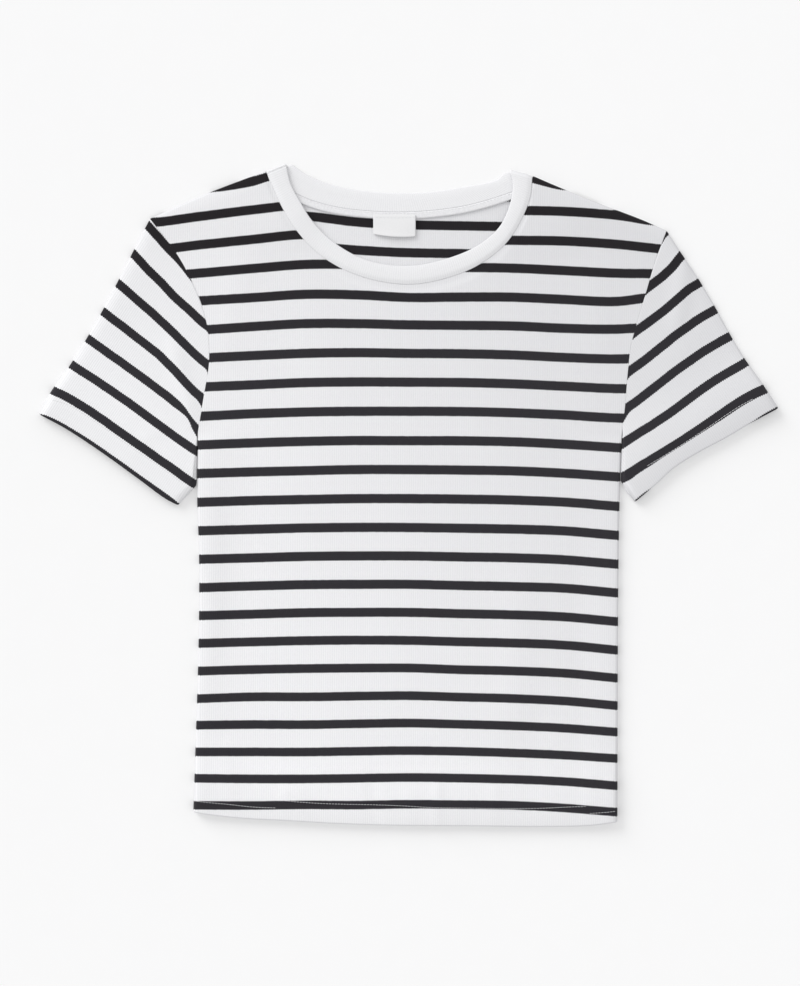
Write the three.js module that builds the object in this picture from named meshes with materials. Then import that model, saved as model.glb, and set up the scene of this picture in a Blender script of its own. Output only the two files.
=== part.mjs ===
// A striped short-sleeved crop top in fine ribbed knit, laid flat on its back.
// Millimetres. X runs across the chest, Y from the hem towards the neck, Z up from the surface it lies on.
// "left" and "right" are the sides as seen from above, with the neck at the top.
import * as THREE from 'three';

// Driving dimensions
const CLOTH = 1.2; // thickness of one layer of knit
const GAP = 0.3; // between neighbouring pieces and between layers
const LAYER = CLOTH + GAP; // from one layer's middle to the next
const HEM_DEPTH = 16.5; // turned-up allowance of the body and the sleeves
const BAND_THICKNESS = 2.4; // neckband, doubled rib
const FREE_FOLD_FLAT = 1.9; // from the band's free edge to where its faces are flat
const FREE_FOLD_INSET = 0.54; // a point half way round that edge
const FREE_FOLD_RISE = 0.9;
const TAPE_WIDTH = 5.6;
const TAPE_THICKNESS = 1;
const LABEL_WIDTH = 34.8;
const LABEL_LENGTH = 15.8; // at its left side
const LABEL_THICKNESS = 1;
const TAPE_ENDS = 0.09; // share of the seam at each end that the tape stops short of
const TAPE_STEPS = 20;
const LABEL_TOP = { x: -29.1, y: 230.2 };
const LABEL_DROP = 0.7; // how much lower the label's free edge lies
const LABEL_DROP_FROM = 0.25; // share of its length where it starts to leave the tape's height
const LABEL_DROP_TO = 0.9;
const LABEL_BOW = 1.4; // of the free edge, downwards at its middle
const LABEL_TILT = 2; // how much lower that edge lies at its right end
const LABEL_ROWS = [0, 0.25, 0.5, 0.75, 1];
const LABEL_COLUMNS = [0, 0.25, 0.5, 0.75, 1];
const EDGE_ROLL = 1.5; // how far the soft side edges stand above the flat cloth
const ROLL_WIDTH = 22; // how far that roll reaches inwards
const HEM_EASE = 15; // above the hem, over which the upper layer comes back down
const SHOULDER_FULL = 42; // round the shoulder's neck end the front rides on the neckband and tape
const SHOULDER_FADE = 78;

// Heights of the middle of each layer
const BACK_HEIGHT = CLOTH / 2;
const FRONT_HEIGHT = BACK_HEIGHT + LAYER;
const HEM_LIFT = 2 * LAYER; // two turned allowances lie between the outer layers

const table = (columns, rows) =>
  rows.map((row) => Object.fromEntries(columns.map((name, i) => [name, row[i]])));
const LEFT_AND_RIGHT = ['leftX', 'leftY', 'rightX', 'rightY'];

// Side seams, from the hem up to the armpit
const SIDE = table(LEFT_AND_RIGHT, [
  [-176.7, -259.7, 171.2, -267.9],
  [-174.8, -201, 171.4, -201],
  [-172.4, -119, 171.7, -119],
  [-172, -53.4, 172.2, -53.4],
  [-173.7, 4, 173.3, 4],
  [-173, 51.5, 174.7, 49.1],
]);
// Armhole seams, from the armpit up to the shoulder
const ARMHOLE = table(LEFT_AND_RIGHT, [
  [-173, 51.5, 174.7, 49.1],
  [-168, 81.9, 177.6, 74.5],
  [-163.8, 108.9, 179.7, 100.7],
  [-164.5, 133.5, 182.4, 122.9],
  [-169.9, 156.5, 187.3, 141.7],
  [-179.3, 178.6, 194.5, 165.9],
  [-191.2, 199.5, 202.4, 192.6],
  [-212.3, 227, 211.6, 217.2],
]);
// Shoulder seams, from the armhole in to the neck
const SHOULDER = table(LEFT_AND_RIGHT, [
  [-212.3, 227, 211.6, 217.2],
  [-184.6, 239.6, 190.1, 226.6],
  [-163.7, 248.4, 157.3, 239.1],
  [-137.9, 258.3, 124.5, 252.4],
  [-116.5, 266.3, 101.2, 262.4],
]);
const HEM = table(['x', 'y'], [
  [-176.7, -259.7],
  [-163.6, -261.9],
  [-135, -265],
  [-96.9, -267],
  [-58.4, -269.2],
  [-14.2, -270.6],
  [55.3, -271.2],
  [108.1, -271.7],
  [146.9, -270.9],
  [171.2, -267.9],
]);
// Neckband, from the left shoulder to the right: the edge sewn to the panel and the free edge
const BAND_FRONT = table(['seamX', 'seamY', 'freeX', 'freeY'], [
  [-116.5, 266.3, -100.3, 272.3],
  [-115.3, 261.2, -98.9, 263.5],
  [-111.2, 252.2, -96.3, 254.5],
  [-102.8, 234.1, -89.2, 241.2],
  [-86, 209.8, -79.4, 225.7],
  [-64.1, 191.1, -60.9, 207.3],
  [-34.2, 178, -33, 192.6],
  [1, 173, 0.7, 188.3],
  [31.8, 178.4, 31, 194.2],
  [57.9, 189.3, 56.4, 204.9],
  [80.4, 207.3, 74.5, 220.5],
  [94.7, 230.7, 83, 239.1],
  [100.3, 247, 85.3, 252.4],
  [101.1, 256, 84.5, 260.5],
  [101.2, 262.4, 81.6, 266.8],
]);
const BAND_BACK = table(['seamX', 'seamY', 'freeX', 'freeY'], [
  [-116.5, 266.3, -100.3, 272.3],
  [-115.2, 261.4, -95.3, 271.2],
  [-108.3, 255.8, -88.5, 266.4],
  [-96.9, 249.6, -79, 261.2],
  [-80.5, 242.2, -67.5, 256.4],
  [-60, 236.6, -50.5, 252],
  [-35.4, 233.4, -31, 249.2],
  [-8.4, 232.3, -8.4, 247.9],
  [19.5, 233.6, 17.9, 248.8],
  [47.4, 237.7, 44.1, 252.8],
  [75.3, 245.5, 66.5, 256.9],
  [92.7, 252.2, 73.5, 259.6],
  [100.1, 257.2, 78.3, 264.4],
  [101.2, 262.4, 81.6, 266.8],
]);
// Sleeves: the folded outer edge from the shoulder down, the hem from that edge in, and the underarm seam
const SLEEVE_OUTER = table(LEFT_AND_RIGHT, [
  [-212.3, 227, 211.6, 217.2],
  [-228.5, 195.6, 223.2, 199.4],
  [-241.1, 171, 237.8, 177.5],
  [-253.1, 148.5, 250.9, 155.5],
  [-265.8, 126.4, 262.9, 133.5],
  [-279.1, 105.2, 275.4, 112.6],
  [-294.6, 83.3, 290.1, 91.7],
  [-303.2, 66.5, 303.3, 71.5],
]);
const SLEEVE_HEM = table(LEFT_AND_RIGHT, [
  [-303.2, 66.5, 303.3, 71.5],
  [-282, 55.1, 280.5, 59.2],
  [-261.8, 42.1, 259.6, 46.8],
  [-242.1, 28.4, 239.3, 36],
  [-219.5, 11.9, 218, 22.7],
  [-200.1, -2.4, 203.2, 9.4],
  [-189.3, -8.2, 185.6, -5.5],
]);
const UNDERARM = table(LEFT_AND_RIGHT, [
  [-173, 51.5, 174.7, 49.1],
  [-173.8, 20.4, 174, 20.4],
  [-175.2, 5.6, 174.7, 4.8],
  [-189.3, -8.2, 185.6, -5.5],
]);
// Soft creases in the upper layer: a ridge from one point to another
const CREASES = table(['x0', 'y0', 'x1', 'y1', 'height', 'width'], [
  [-195.8, 128.2, -175.8, 62.2, 1.6, 8],
  [226.2, 196.2, 219.2, 132.2, 1.4, 8],
  [-159.8, 20.2, -163.8, -149.8, 0.7, 10],
  [92.2, -59.8, 86.2, -189.8, 0.9, 16],
  [-99.8, -237.8, -103.8, -261.8, 0.6, 5],
  [0.2, -239.8, 2.2, -265.8, 0.5, 6],
  [46.2, -235.8, 44.2, -265.8, 0.5, 6],
  [-137.8, 196.2, -149.8, 110.2, 0.6, 14],
  [150.2, 190.2, 162.2, 110.2, 0.6, 14],
]);

// A crease fades in from a little beyond its end, as a share of its length
const CREASE_TAIL = 0.15;
const CREASE_FULL = 0.25;

// How finely each stretch is divided
const ARMPIT = 0.62; // share of the panel's height below the armpit
const ARMHOLE_STEPS = 7;
const evenShares = (steps) => Array.from({ length: steps - 1 }, (_, k) => (k + 1) / steps);
const ARMHOLE_SHARES = [0, 0.04, ...evenShares(ARMHOLE_STEPS), 0.96, 1];
const NECK_STEPS = 14;
const NECK_FROM = 0.18; // share of the panel's width where each shoulder seam ends
const SHOULDER_SHARES = [0.3, 0.58, 0.82];
const SIDE_SHARES = [0.023, 0.037]; // extra columns just inside the side seams
const SIDE_ROWS = [0.12, 0.24, 0.36, 0.48, 0.57, 0.6];
const QUARTER_TURN = [0.5, 1];
const HALF_TURN = [1 / 3, 2 / 3];
const FOLD_INSET = (LAYER + CLOTH) / 2; // from a hem's outline to the middle of its fold
const ALLOWANCE_ROWS = [HEM_DEPTH, HEM_DEPTH / 2];
const EASE_START = 1.5; // above the allowance, where the upper layer starts to come down
const HEM_ROWS = [EASE_START, 6, 10.5, HEM_EASE].map((above) => HEM_DEPTH + above);
const SLEEVE_ROOM = 4; // between a sleeve's evenly spaced rows and the rows beside its hem
const SLEEVE_ROWS = [0.15, 0.32, 0.49, 0.66, 0.83];
const NECK_ROWS = 0.012; // share of the panel's height over which its last rows reach the neck seam
const NECK_CORNER_ROOM = 0.9; // between the panel's corner at the neck and the folded band
const BAND_FOLD_ROOM = 2.8; // from each end of the neck seam to where the band starts to fold over
const ARMPIT_ROOM = 0.5;
const ARMPIT_FADE = 0.03; // share of the panel's height over which the side seam flattens out
const LEAST_TURN = 0.02; // a smaller turn counts as flat
const UNDERARM_FAN = 0.8; // how closely the sleeve's sections crowd together at the armpit

const clamp01 = (value) => Math.min(1, Math.max(0, value));
const smooth = (from, to, value) => {
  const t = clamp01((value - from) / (to - from));
  return t * t * (3 - 2 * t);
};
const mix = (a, b, t) => a + (b - a) * t;

// A smooth curve through the named columns of a table
function curve(rows, x, y) {
  const points = rows.map((row) => new THREE.Vector3(row[x], row[y], 0));
  const line = new THREE.CatmullRomCurve3(points, false, 'centripetal');
  line.arcLengthDivisions = 400;
  return line;
}
// A point on a curve at a share of its length, with the normal on its left (hand 1) or right (hand -1)
function along(line, share, hand) {
  const t = clamp01(share);
  const way = line.getTangentAt(t);
  return { point: line.getPointAt(t), inward: new THREE.Vector3(-way.y, way.x, 0).multiplyScalar(hand) };
}
const inFrom = (edge, distance) => edge.point.clone().addScaledVector(edge.inward, distance);
// The point at the given distances from two edges that meet at a corner
function inFromCorner(a, distanceA, b, distanceB) {
  const cross = a.inward.x * b.inward.y - a.inward.y * b.inward.x;
  const shift = new THREE.Vector3(
    (distanceA * b.inward.y - distanceB * a.inward.y) / cross,
    (distanceB * a.inward.x - distanceA * b.inward.x) / cross,
    0,
  );
  return a.point.clone().add(shift);
}
// A patch of points between four edges, each a function of 0 to 1. Its sections run straight from bottom
// to top and bend with a side edge, the less the further in they are and not at all beyond its reach.
function patch(left, right, bottom, top, reach = 1) {
  const bulge = (edge, v) => edge(v).sub(edge(0).lerp(edge(1), v));
  return (u, v) =>
    bottom(u).lerp(top(u), v)
      .addScaledVector(bulge(left, v), clamp01(1 - u / reach))
      .addScaledVector(bulge(right, v), clamp01(1 - (1 - u) / reach));
}

// Room from a seam's line to the middle of a wall: half the gap, and half the cloth where it turns down
const edgeRoom = (turned) => (GAP + turned * CLOTH) / 2;
// How far out and down cloth lies after part of a quarter turn; turned runs from 0, flat, to 1, down to
// its partner
function bend(halfApart, turned, share, layer = 0) {
  const radius = halfApart - GAP / 2;
  const angle = (Math.PI / 2) * share;
  if (turned < LEAST_TURN) return { out: radius * angle, down: -layer };
  const wide = radius / turned;
  return {
    out: (wide + layer) * Math.sin(angle * turned),
    down: wide - (wide + layer) * Math.cos(angle * turned),
  };
}
const bendRoom = (radius, turned) => edgeRoom(turned) + bend(radius, turned, 1).out;
const UP = new THREE.Vector3(0, 0, 1);
// The normal of cloth that has turned by an angle from facing one way towards facing another
const turnNormal = (from, towards, angle) =>
  from.clone().multiplyScalar(Math.cos(angle)).addScaledVector(towards, Math.sin(angle)).normalize();
const outwardOf = (edge) => edge.inward.clone().negate();
// A hem's fold: how far out and how far inside the outer layer's middle
const foldOut = (fold) => (LAYER / 2) * Math.sin(fold * Math.PI);
const foldLayer = (fold) => (LAYER / 2) * (Math.cos(fold * Math.PI) - 1);

function solid(positions, faces) {
  const corner = (k) => new THREE.Vector3().fromArray(positions, 3 * k);
  let volume = 0;
  for (let k = 0; k < faces.length; k += 3) {
    volume += corner(faces[k]).dot(corner(faces[k + 1]).cross(corner(faces[k + 2])));
  }
  const geometry = new THREE.BufferGeometry();
  geometry.setAttribute('position', new THREE.Float32BufferAttribute(positions, 3));
  geometry.setIndex(volume > 0 ? faces : faces.reverse());
  geometry.computeVertexNormals();
  return geometry;
}
// A wall about a grid of places, each with the normal of the cloth there; closed joins its last column to
// its first
function wall(grid, thickness, closed = false) {
  const rows = grid.length;
  const columns = grid[0].length;
  const positions = [];
  for (const side of [0.5, -0.5]) {
    for (const { place, normal } of grid.flat()) {
      positions.push(...place.clone().addScaledVector(normal, side * thickness).toArray());
    }
  }
  const index = (i, j, side) => (side * rows + i) * columns + (j % columns);
  const faces = [];
  const quad = (a, b, c, d) => faces.push(a, b, c, a, c, d);
  const lastColumn = closed ? columns : columns - 1;
  for (let j = 0; j < lastColumn; j += 1) {
    for (let i = 0; i < rows - 1; i += 1) {
      quad(index(i, j, 0), index(i, j + 1, 0), index(i + 1, j + 1, 0), index(i + 1, j, 0));
      quad(index(i, j, 1), index(i + 1, j, 1), index(i + 1, j + 1, 1), index(i, j + 1, 1));
    }
    quad(index(0, j, 1), index(0, j + 1, 1), index(0, j + 1, 0), index(0, j, 0));
    quad(index(rows - 1, j, 0), index(rows - 1, j + 1, 0), index(rows - 1, j + 1, 1), index(rows - 1, j, 1));
  }
  for (let i = 0; i < rows - 1 && !closed; i += 1) {
    const end = columns - 1;
    quad(index(i, 0, 1), index(i, 0, 0), index(i + 1, 0, 0), index(i + 1, 0, 1));
    quad(index(i, end, 0), index(i, end, 1), index(i + 1, end, 1), index(i + 1, end, 0));
  }
  return solid(positions, faces);
}

const bothSides = (rows) => ({ left: curve(rows, 'leftX', 'leftY'), right: curve(rows, 'rightX', 'rightY') });
const sideSeam = bothSides(SIDE);
const armhole = bothSides(ARMHOLE);
const shoulder = bothSides(SHOULDER);
const hem = curve(HEM, 'x', 'y');
const neckSeam = { front: curve(BAND_FRONT, 'seamX', 'seamY'), back: curve(BAND_BACK, 'seamX', 'seamY') };
const freeEdge = { front: curve(BAND_FRONT, 'freeX', 'freeY'), back: curve(BAND_BACK, 'freeX', 'freeY') };
const neckEnds = [neckSeam.front.getPointAt(0), neckSeam.front.getPointAt(1)];

// Fullness of the upper layer
function creaseHeight(point) {
  let height = 0;
  for (const crease of CREASES) {
    const way = new THREE.Vector2(crease.x1 - crease.x0, crease.y1 - crease.y0);
    const from = new THREE.Vector2(point.x - crease.x0, point.y - crease.y0);
    const share = from.dot(way) / way.lengthSq();
    const aside = from.cross(way) / way.length() / crease.width;
    const ends = smooth(-CREASE_TAIL, CREASE_FULL, share) * smooth(-CREASE_TAIL, CREASE_FULL, 1 - share);
    height += crease.height * Math.exp(-aside * aside) * ends;
  }
  return height;
}
const roll = (distance) => Math.exp(-((distance / ROLL_WIDTH) ** 2));
const hemLift = (distance) => HEM_LIFT * (1 - smooth(HEM_DEPTH + EASE_START, HEM_DEPTH + HEM_EASE, distance));
// Side seams turn down, armholes lie flat
const turnedDown = (v) => 1 - smooth(ARMPIT - ARMPIT_FADE, ARMPIT, v);

// Shares of the neck seam's length where the panel and the neckband both have a section
function neckShares(face) {
  const fold = BAND_FOLD_ROOM / neckSeam[face].getLength();
  return [fold, ...evenShares(NECK_STEPS), 1 - fold];
}

// The body's outline, common to front and back but for the neck
function bodyOutline(face) {
  const side = (v, name) => {
    const hand = name === 'left' ? -1 : 1;
    if (v <= ARMPIT) return along(sideSeam[name], v / ARMPIT, hand);
    return along(armhole[name], (v - ARMPIT) / (1 - ARMPIT), hand);
  };
  const top = (u) => {
    if (u <= NECK_FROM) return along(shoulder.left, u / NECK_FROM, -1);
    if (u >= 1 - NECK_FROM) return along(shoulder.right, (1 - u) / NECK_FROM, 1);
    return along(neckSeam[face], (u - NECK_FROM) / (1 - 2 * NECK_FROM), -1);
  };
  const bottom = (u) => along(hem, u, 1);
  const flat = patch(
    (v) => side(v, 'left').point,
    (v) => side(v, 'right').point,
    (u) => bottom(u).point,
    (u) => top(u).point,
    NECK_FROM,
  );
  return { side, top, bottom, flat };
}
const frontOutline = bodyOutline('front');

// Height of the front's middle at a share of its width and height
function frontHeight(u, v) {
  const { flat } = frontOutline;
  const point = flat(u, v);
  const length = flat(u, 0).distanceTo(flat(u, 1));
  const width = flat(0, v).distanceTo(flat(1, v));
  const onShoulder = u <= NECK_FROM || u >= 1 - NECK_FROM;
  const besideSeam = turnedDown(v) * roll(Math.min(u, 1 - u) * width);
  const besideShoulder = onShoulder ? roll((1 - v) * length) : 0;
  const neckEnd = Math.min(...neckEnds.map((end) => point.distanceTo(end)));
  const flatness = (1 - besideSeam) * (1 - besideShoulder) * smooth(SHOULDER_FULL, SHOULDER_FADE, neckEnd);
  return FRONT_HEIGHT + EDGE_ROLL * (1 - flatness) + creaseHeight(point) + hemLift(v * length);
}

// A body panel: its hem allowance turned up inside, its seamed edges turned to meet the other panel
function bodyGrid(face) {
  const { side, top, bottom, flat } = bodyOutline(face);
  const front = face === 'front';
  const neckColumn = (share) => mix(NECK_FROM, 1 - NECK_FROM, share);
  const onShoulders = SHOULDER_SHARES.map((share) => share * NECK_FROM);
  const inner = [...SIDE_SHARES, ...onShoulders, NECK_FROM].sort((a, b) => a - b);
  const turn = QUARTER_TURN.map((share) => ({ share }));
  const columns = [
    ...turn.map(({ share }) => ({ u: 0, share })).reverse(),
    { u: 0, share: 0 },
    ...inner.map((u) => ({ u })),
    ...neckShares(face).map((share) => ({ u: neckColumn(share) })),
    ...inner.map((u) => ({ u: 1 - u })).reverse(),
    { u: 1, share: 0 },
    ...turn.map(({ share }) => ({ u: 1, share })),
  ];
  const rows = [
    ...ALLOWANCE_ROWS.map((distance) => ({ distance, fold: 1 })),
    ...[1, ...HALF_TURN.slice().reverse(), 0].map((fold) => ({ v: 0, fold })),
    ...HEM_ROWS.map((distance) => ({ distance, fold: 0 })),
    ...SIDE_ROWS.map((v) => ({ v, fold: 0 })),
    ...ARMHOLE_SHARES.slice(0, -1).map((share) => ({ v: mix(ARMPIT, 1, share), fold: 0 })),
    ...[0, ...QUARTER_TURN].map((share) => ({ v: 1, fold: 0, share })),
  ];
  return rows.map((row) => columns.map(({ u, share = 0 }) => {
    const v = row.v ?? row.distance / flat(u, 0).distanceTo(flat(u, 1));
    const layer = foldLayer(row.fold);
    const edgeColumn = u === 0 || u === 1;
    const name = u < 0.5 ? 'left' : 'right';
    const base = frontHeight(u, v);
    const radius = (base - BACK_HEIGHT) / 2;
    const neckEnd = u === NECK_FROM || u === 1 - NECK_FROM;
    const turned = turnedDown(v);
    const sideBend = bend(radius, turned, share, layer);
    const fromSide = bendRoom(radius, turned) - (edgeColumn ? sideBend.out : 0);
    const onShoulder = u <= NECK_FROM || u >= 1 - NECK_FROM;
    const topBend = bend(radius, onShoulder ? 1 : 0, row.share ?? 0);
    const fromTop = bendRoom(radius, onShoulder ? 1 : 0) - topBend.out;
    const fromHem = FOLD_INSET - foldOut(row.fold);
    let place;
    if (v === 0) {
      if (edgeColumn) place = inFromCorner(side(0, name), fromSide, bottom(u), fromHem);
      else place = inFrom(bottom(u), fromHem);
    } else if (v === 1 && !onShoulder && row.share < 1) {
      place = flat(u, 1 - NECK_ROWS * (1 - row.share) ** 2);
    } else if (v === 1) {
      const neck = along(neckSeam[face], u < 0.5 ? 0 : 1, -1);
      if (edgeColumn) place = inFromCorner(side(1, name), fromSide, top(u), fromTop);
      else place = neckEnd ? inFromCorner(top(u), fromTop, neck, NECK_CORNER_ROOM) : inFrom(top(u), fromTop);
    } else {
      place = edgeColumn ? inFrom(side(v, name), fromSide) : flat(u, v);
    }
    const down = (edgeColumn ? sideBend.down : -layer) + (row.share ? topBend.down : 0);
    place.z = front ? base - down : BACK_HEIGHT + down;
    let normal = UP.clone().multiplyScalar(front ? 1 : -1);
    if (edgeColumn) normal = turnNormal(normal, outwardOf(side(v, name)), (share * turned * Math.PI) / 2);
    if (v === 1 && onShoulder) normal = turnNormal(normal, outwardOf(top(u)), (row.share * Math.PI) / 2);
    normal = turnNormal(normal, outwardOf(bottom(u)), row.fold * Math.PI);
    return { place, normal };
  }));
}

// A sleeve: a flattened tube from the armhole to a turned-up hem
function sleeveGrid(name) {
  const hand = name === 'left' ? 1 : -1;
  const outerLine = curve(SLEEVE_OUTER, `${name}X`, `${name}Y`);
  const hemLine = curve(SLEEVE_HEM, `${name}X`, `${name}Y`);
  const underLine = curve(UNDERARM, `${name}X`, `${name}Y`);
  const outer = (v) => along(outerLine, v, hand);
  const under = (v) => along(underLine, v - UNDERARM_FAN * v * (1 - v) ** 2, -hand);
  const seam = (u) => along(armhole[name], 1 - u, hand);
  const opening = (u) => along(hemLine, u, hand);
  const flat = patch(
    (v) => outer(v).point,
    (v) => under(v).point,
    (u) => seam(u).point,
    (u) => opening(u).point,
  );
  const length = (u) => flat(u, 0).distanceTo(flat(u, 1));
  const topHeight = (u, v) => {
    const point = flat(u, v);
    const besideFold = roll(u * flat(0, v).distanceTo(flat(1, v)));
    return FRONT_HEIGHT + EDGE_ROLL * besideFold + creaseHeight(point) + hemLift((1 - v) * length(u));
  };
  const easeShare = (u) => 1 - (HEM_DEPTH + HEM_EASE + SLEEVE_ROOM) / length(u);
  const rows = [
    { share: 0, fold: 0 },
    ...SLEEVE_ROWS.map((share) => ({ share, fold: 0 })),
    { share: 1, fold: 0 },
    ...HEM_ROWS.slice().reverse().map((distance) => ({ distance, fold: 0 })),
    ...[0, ...HALF_TURN, 1].map((fold) => ({ distance: 0, fold })),
    ...ALLOWANCE_ROWS.slice().reverse().map((distance) => ({ distance, fold: 1 })),
  ];
  const columns = [
    ...ARMHOLE_SHARES.slice().reverse().map((share) => ({ u: 1 - share, angle: Math.PI / 2 })),
    ...HALF_TURN.map((share) => ({ u: 1, angle: Math.PI * (0.5 - share) })),
    ...ARMHOLE_SHARES.map((share) => ({ u: 1 - share, angle: -Math.PI / 2 })),
    ...HALF_TURN.map((share) => ({ u: 0, angle: Math.PI * (share - 0.5) })),
  ];
  return rows.map((row) => columns.map(({ u, angle }) => {
    const v = row.share === undefined ? 1 - row.distance / length(u) : row.share * easeShare(u);
    const layer = foldLayer(row.fold);
    const radius = (topHeight(u, v) - BACK_HEIGHT) / 2;
    const fromEdge = edgeRoom(1) + radius - (radius + layer) * Math.cos(angle);
    const fromHem = FOLD_INSET - foldOut(row.fold);
    const edge = u === 0 ? outer : under;
    const edgeColumn = u === 0 || u === 1;
    let place;
    if (v === 1) {
      place = edgeColumn ? inFromCorner(edge(1), fromEdge, opening(u), fromHem) : inFrom(opening(u), fromHem);
    } else if (v === 0) {
      if (u === 0) place = inFromCorner(outer(0), fromEdge, seam(0), GAP / 2);
      else place = u === 1 ? inFrom(under(0), fromEdge + ARMPIT_ROOM) : inFrom(seam(u), GAP / 2);
    } else {
      place = edgeColumn ? inFrom(edge(v), fromEdge) : flat(u, v);
    }
    place.z = BACK_HEIGHT + radius + (radius + layer) * Math.sin(angle);
    const facing = UP.clone().multiplyScalar(Math.sign(angle));
    const normal = edgeColumn ? turnNormal(outwardOf(edge(v)), UP, angle) : facing;
    return { place, normal: turnNormal(normal, outwardOf(opening(u)), row.fold * Math.PI) };
  }));
}

// The neckband: a doubled strip of rib that runs round the neck and folds over at each shoulder
const BACK_BAND_HEIGHT = BAND_THICKNESS / 2;
function bandGeometry() {
  const station = (face, share) => ({
    seam: neckSeam[face].getPointAt(share),
    free: freeEdge[face].getPointAt(share),
  });
  const frontShares = neckShares('front');
  const backShares = neckShares('back').slice(1, -1).reverse();
  const frontMiddle = (share) =>
    frontHeight(mix(NECK_FROM, 1 - NECK_FROM, share), 1) + (BAND_THICKNESS - CLOTH) / 2;
  const onFront = (share) => ({ ...station('front', share), height: frontMiddle(share), angle: Math.PI / 2 });
  const onBack = (share) => ({ ...station('back', share), height: BACK_BAND_HEIGHT, angle: -Math.PI / 2 });
  const stations = frontShares.map(onFront);
  const foldOver = (share) => {
    const middle = frontMiddle(share);
    const radius = (middle - BACK_BAND_HEIGHT) / 2;
    return [...HALF_TURN, 1].map((part) => {
      const angle = Math.PI * (0.5 - part);
      return { ...station('front', share), height: middle - radius, radius, angle };
    });
  };
  const rightFold = foldOver(frontShares.at(-1));
  const leftFold = foldOver(frontShares[0]).reverse();
  stations.push(...rightFold);
  stations.push(...backShares.map(onBack));
  stations.push(...leftFold);

  // The section across the band: the sewn edge is cut square, the free edge is a soft fold
  const half = BAND_THICKNESS / 2;
  const section = [
    { across: 'seam', in: GAP / 2, up: half },
    { across: 'free', in: FREE_FOLD_FLAT, up: half },
    { across: 'free', in: FREE_FOLD_INSET, up: FREE_FOLD_RISE },
    { across: 'free', in: 0, up: 0 },
    { across: 'free', in: FREE_FOLD_INSET, up: -FREE_FOLD_RISE },
    { across: 'free', in: FREE_FOLD_FLAT, up: -half },
    { across: 'seam', in: GAP / 2, up: -half },
  ];
  const positions = [];
  for (const { seam, free, height, angle, radius = 0 } of stations) {
    const across = free.clone().sub(seam).normalize();
    const outward = new THREE.Vector3(-across.y, across.x, 0);
    if (outward.y < 0) outward.negate();
    // Round the fold the band's upper face turns from up, through outward, to down
    const up = new THREE.Vector3(0, 0, Math.sin(angle)).addScaledVector(outward, Math.cos(angle));
    const middle = new THREE.Vector3(0, 0, height).addScaledVector(up, radius);
    for (const point of section) {
      const from = point.across === 'seam' ? seam : free;
      const place = from.clone().add(middle);
      place.addScaledVector(across, point.across === 'seam' ? point.in : -point.in);
      positions.push(...place.addScaledVector(up, point.up).toArray());
    }
  }
  const faces = [];
  const size = section.length;
  for (let i = 0; i < stations.length; i += 1) {
    const next = (i + 1) % stations.length;
    for (let k = 0; k < size; k += 1) {
      const [a, b] = [i * size + k, i * size + ((k + 1) % size)];
      const [c, d] = [next * size + ((k + 1) % size), next * size + k];
      faces.push(a, b, c, a, c, d);
    }
  }
  return solid(positions, faces);
}

// The tape that covers the back neck seam inside, lying on the back panel
function tapeGrid() {
  const middle = CLOTH + GAP + TAPE_THICKNESS / 2;
  const steps = [0, ...evenShares(TAPE_STEPS), 1];
  const shares = steps.map((step) => mix(TAPE_ENDS, 1 - TAPE_ENDS, step));
  return [GAP, TAPE_WIDTH].map((distance) => shares.map((share) => {
    const place = inFrom(along(neckSeam.back, share, -1), distance);
    place.z = middle;
    return { place, normal: UP };
  }));
}

// The blank label: its top lies on the tape, the rest hangs down over the back panel
function labelGrid() {
  const top = LABEL_TOP;
  const onTape = CLOTH + 2 * GAP + TAPE_THICKNESS + LABEL_THICKNESS / 2;
  const lowest = onTape - LABEL_DROP;
  return LABEL_ROWS.map((down) => LABEL_COLUMNS.map((across) => {
    const x = top.x + across * LABEL_WIDTH;
    const sag = LABEL_BOW * (1 - 4 * (across - 0.5) ** 2) * down;
    const y = top.y - down * LABEL_LENGTH - sag - LABEL_TILT * across * down;
    const height = mix(onTape, lowest, smooth(LABEL_DROP_FROM, LABEL_DROP_TO, down));
    return { place: new THREE.Vector3(x, y, height), normal: UP };
  }));
}

const KNIT = { colour: 0xe9e9ec, roughness: 0.9 };
const RIB = { colour: 0xefeef1, roughness: 0.88 };
const TAPE = { colour: 0xf0f0f2, roughness: 0.8 };
const SATIN = { colour: 0xf4f4f5, roughness: 0.45 };
function piece(name, geometry, { colour, roughness }) {
  const material = new THREE.MeshStandardMaterial({ color: colour, roughness, metalness: 0 });
  const mesh = new THREE.Mesh(geometry, material);
  mesh.name = name;
  return mesh;
}

const garment = new THREE.Group();
garment.name = 'crop_top';
garment.add(piece('back', wall(bodyGrid('back'), CLOTH), KNIT));
garment.add(piece('front', wall(bodyGrid('front'), CLOTH), KNIT));
for (const name of ['left', 'right']) {
  garment.add(piece(`sleeve_${name}`, wall(sleeveGrid(name), CLOTH, true), KNIT));
}
garment.add(piece('neckband', bandGeometry(), RIB));
garment.add(piece('neck_tape', wall(tapeGrid(), TAPE_THICKNESS), TAPE));
garment.add(piece('label', wall(labelGrid(), LABEL_THICKNESS), SATIN));

export default garment;
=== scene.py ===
"""A short-sleeved ribbed crop top laid flat, seen from straight above."""

from math import cos, pi, radians, sin

import bpy
import numpy as np
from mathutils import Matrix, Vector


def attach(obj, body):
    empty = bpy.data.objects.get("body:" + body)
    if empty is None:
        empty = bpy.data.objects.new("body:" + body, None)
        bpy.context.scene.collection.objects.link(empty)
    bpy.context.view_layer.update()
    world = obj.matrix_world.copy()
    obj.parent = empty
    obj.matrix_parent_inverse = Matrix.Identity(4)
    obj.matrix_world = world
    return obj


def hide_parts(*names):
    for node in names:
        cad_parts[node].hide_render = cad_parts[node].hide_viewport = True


# Lengths in the tables and in the layout are millimetres; pieces are scaled to metres when they are made.
MM = 0.001
join = np.concatenate

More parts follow.
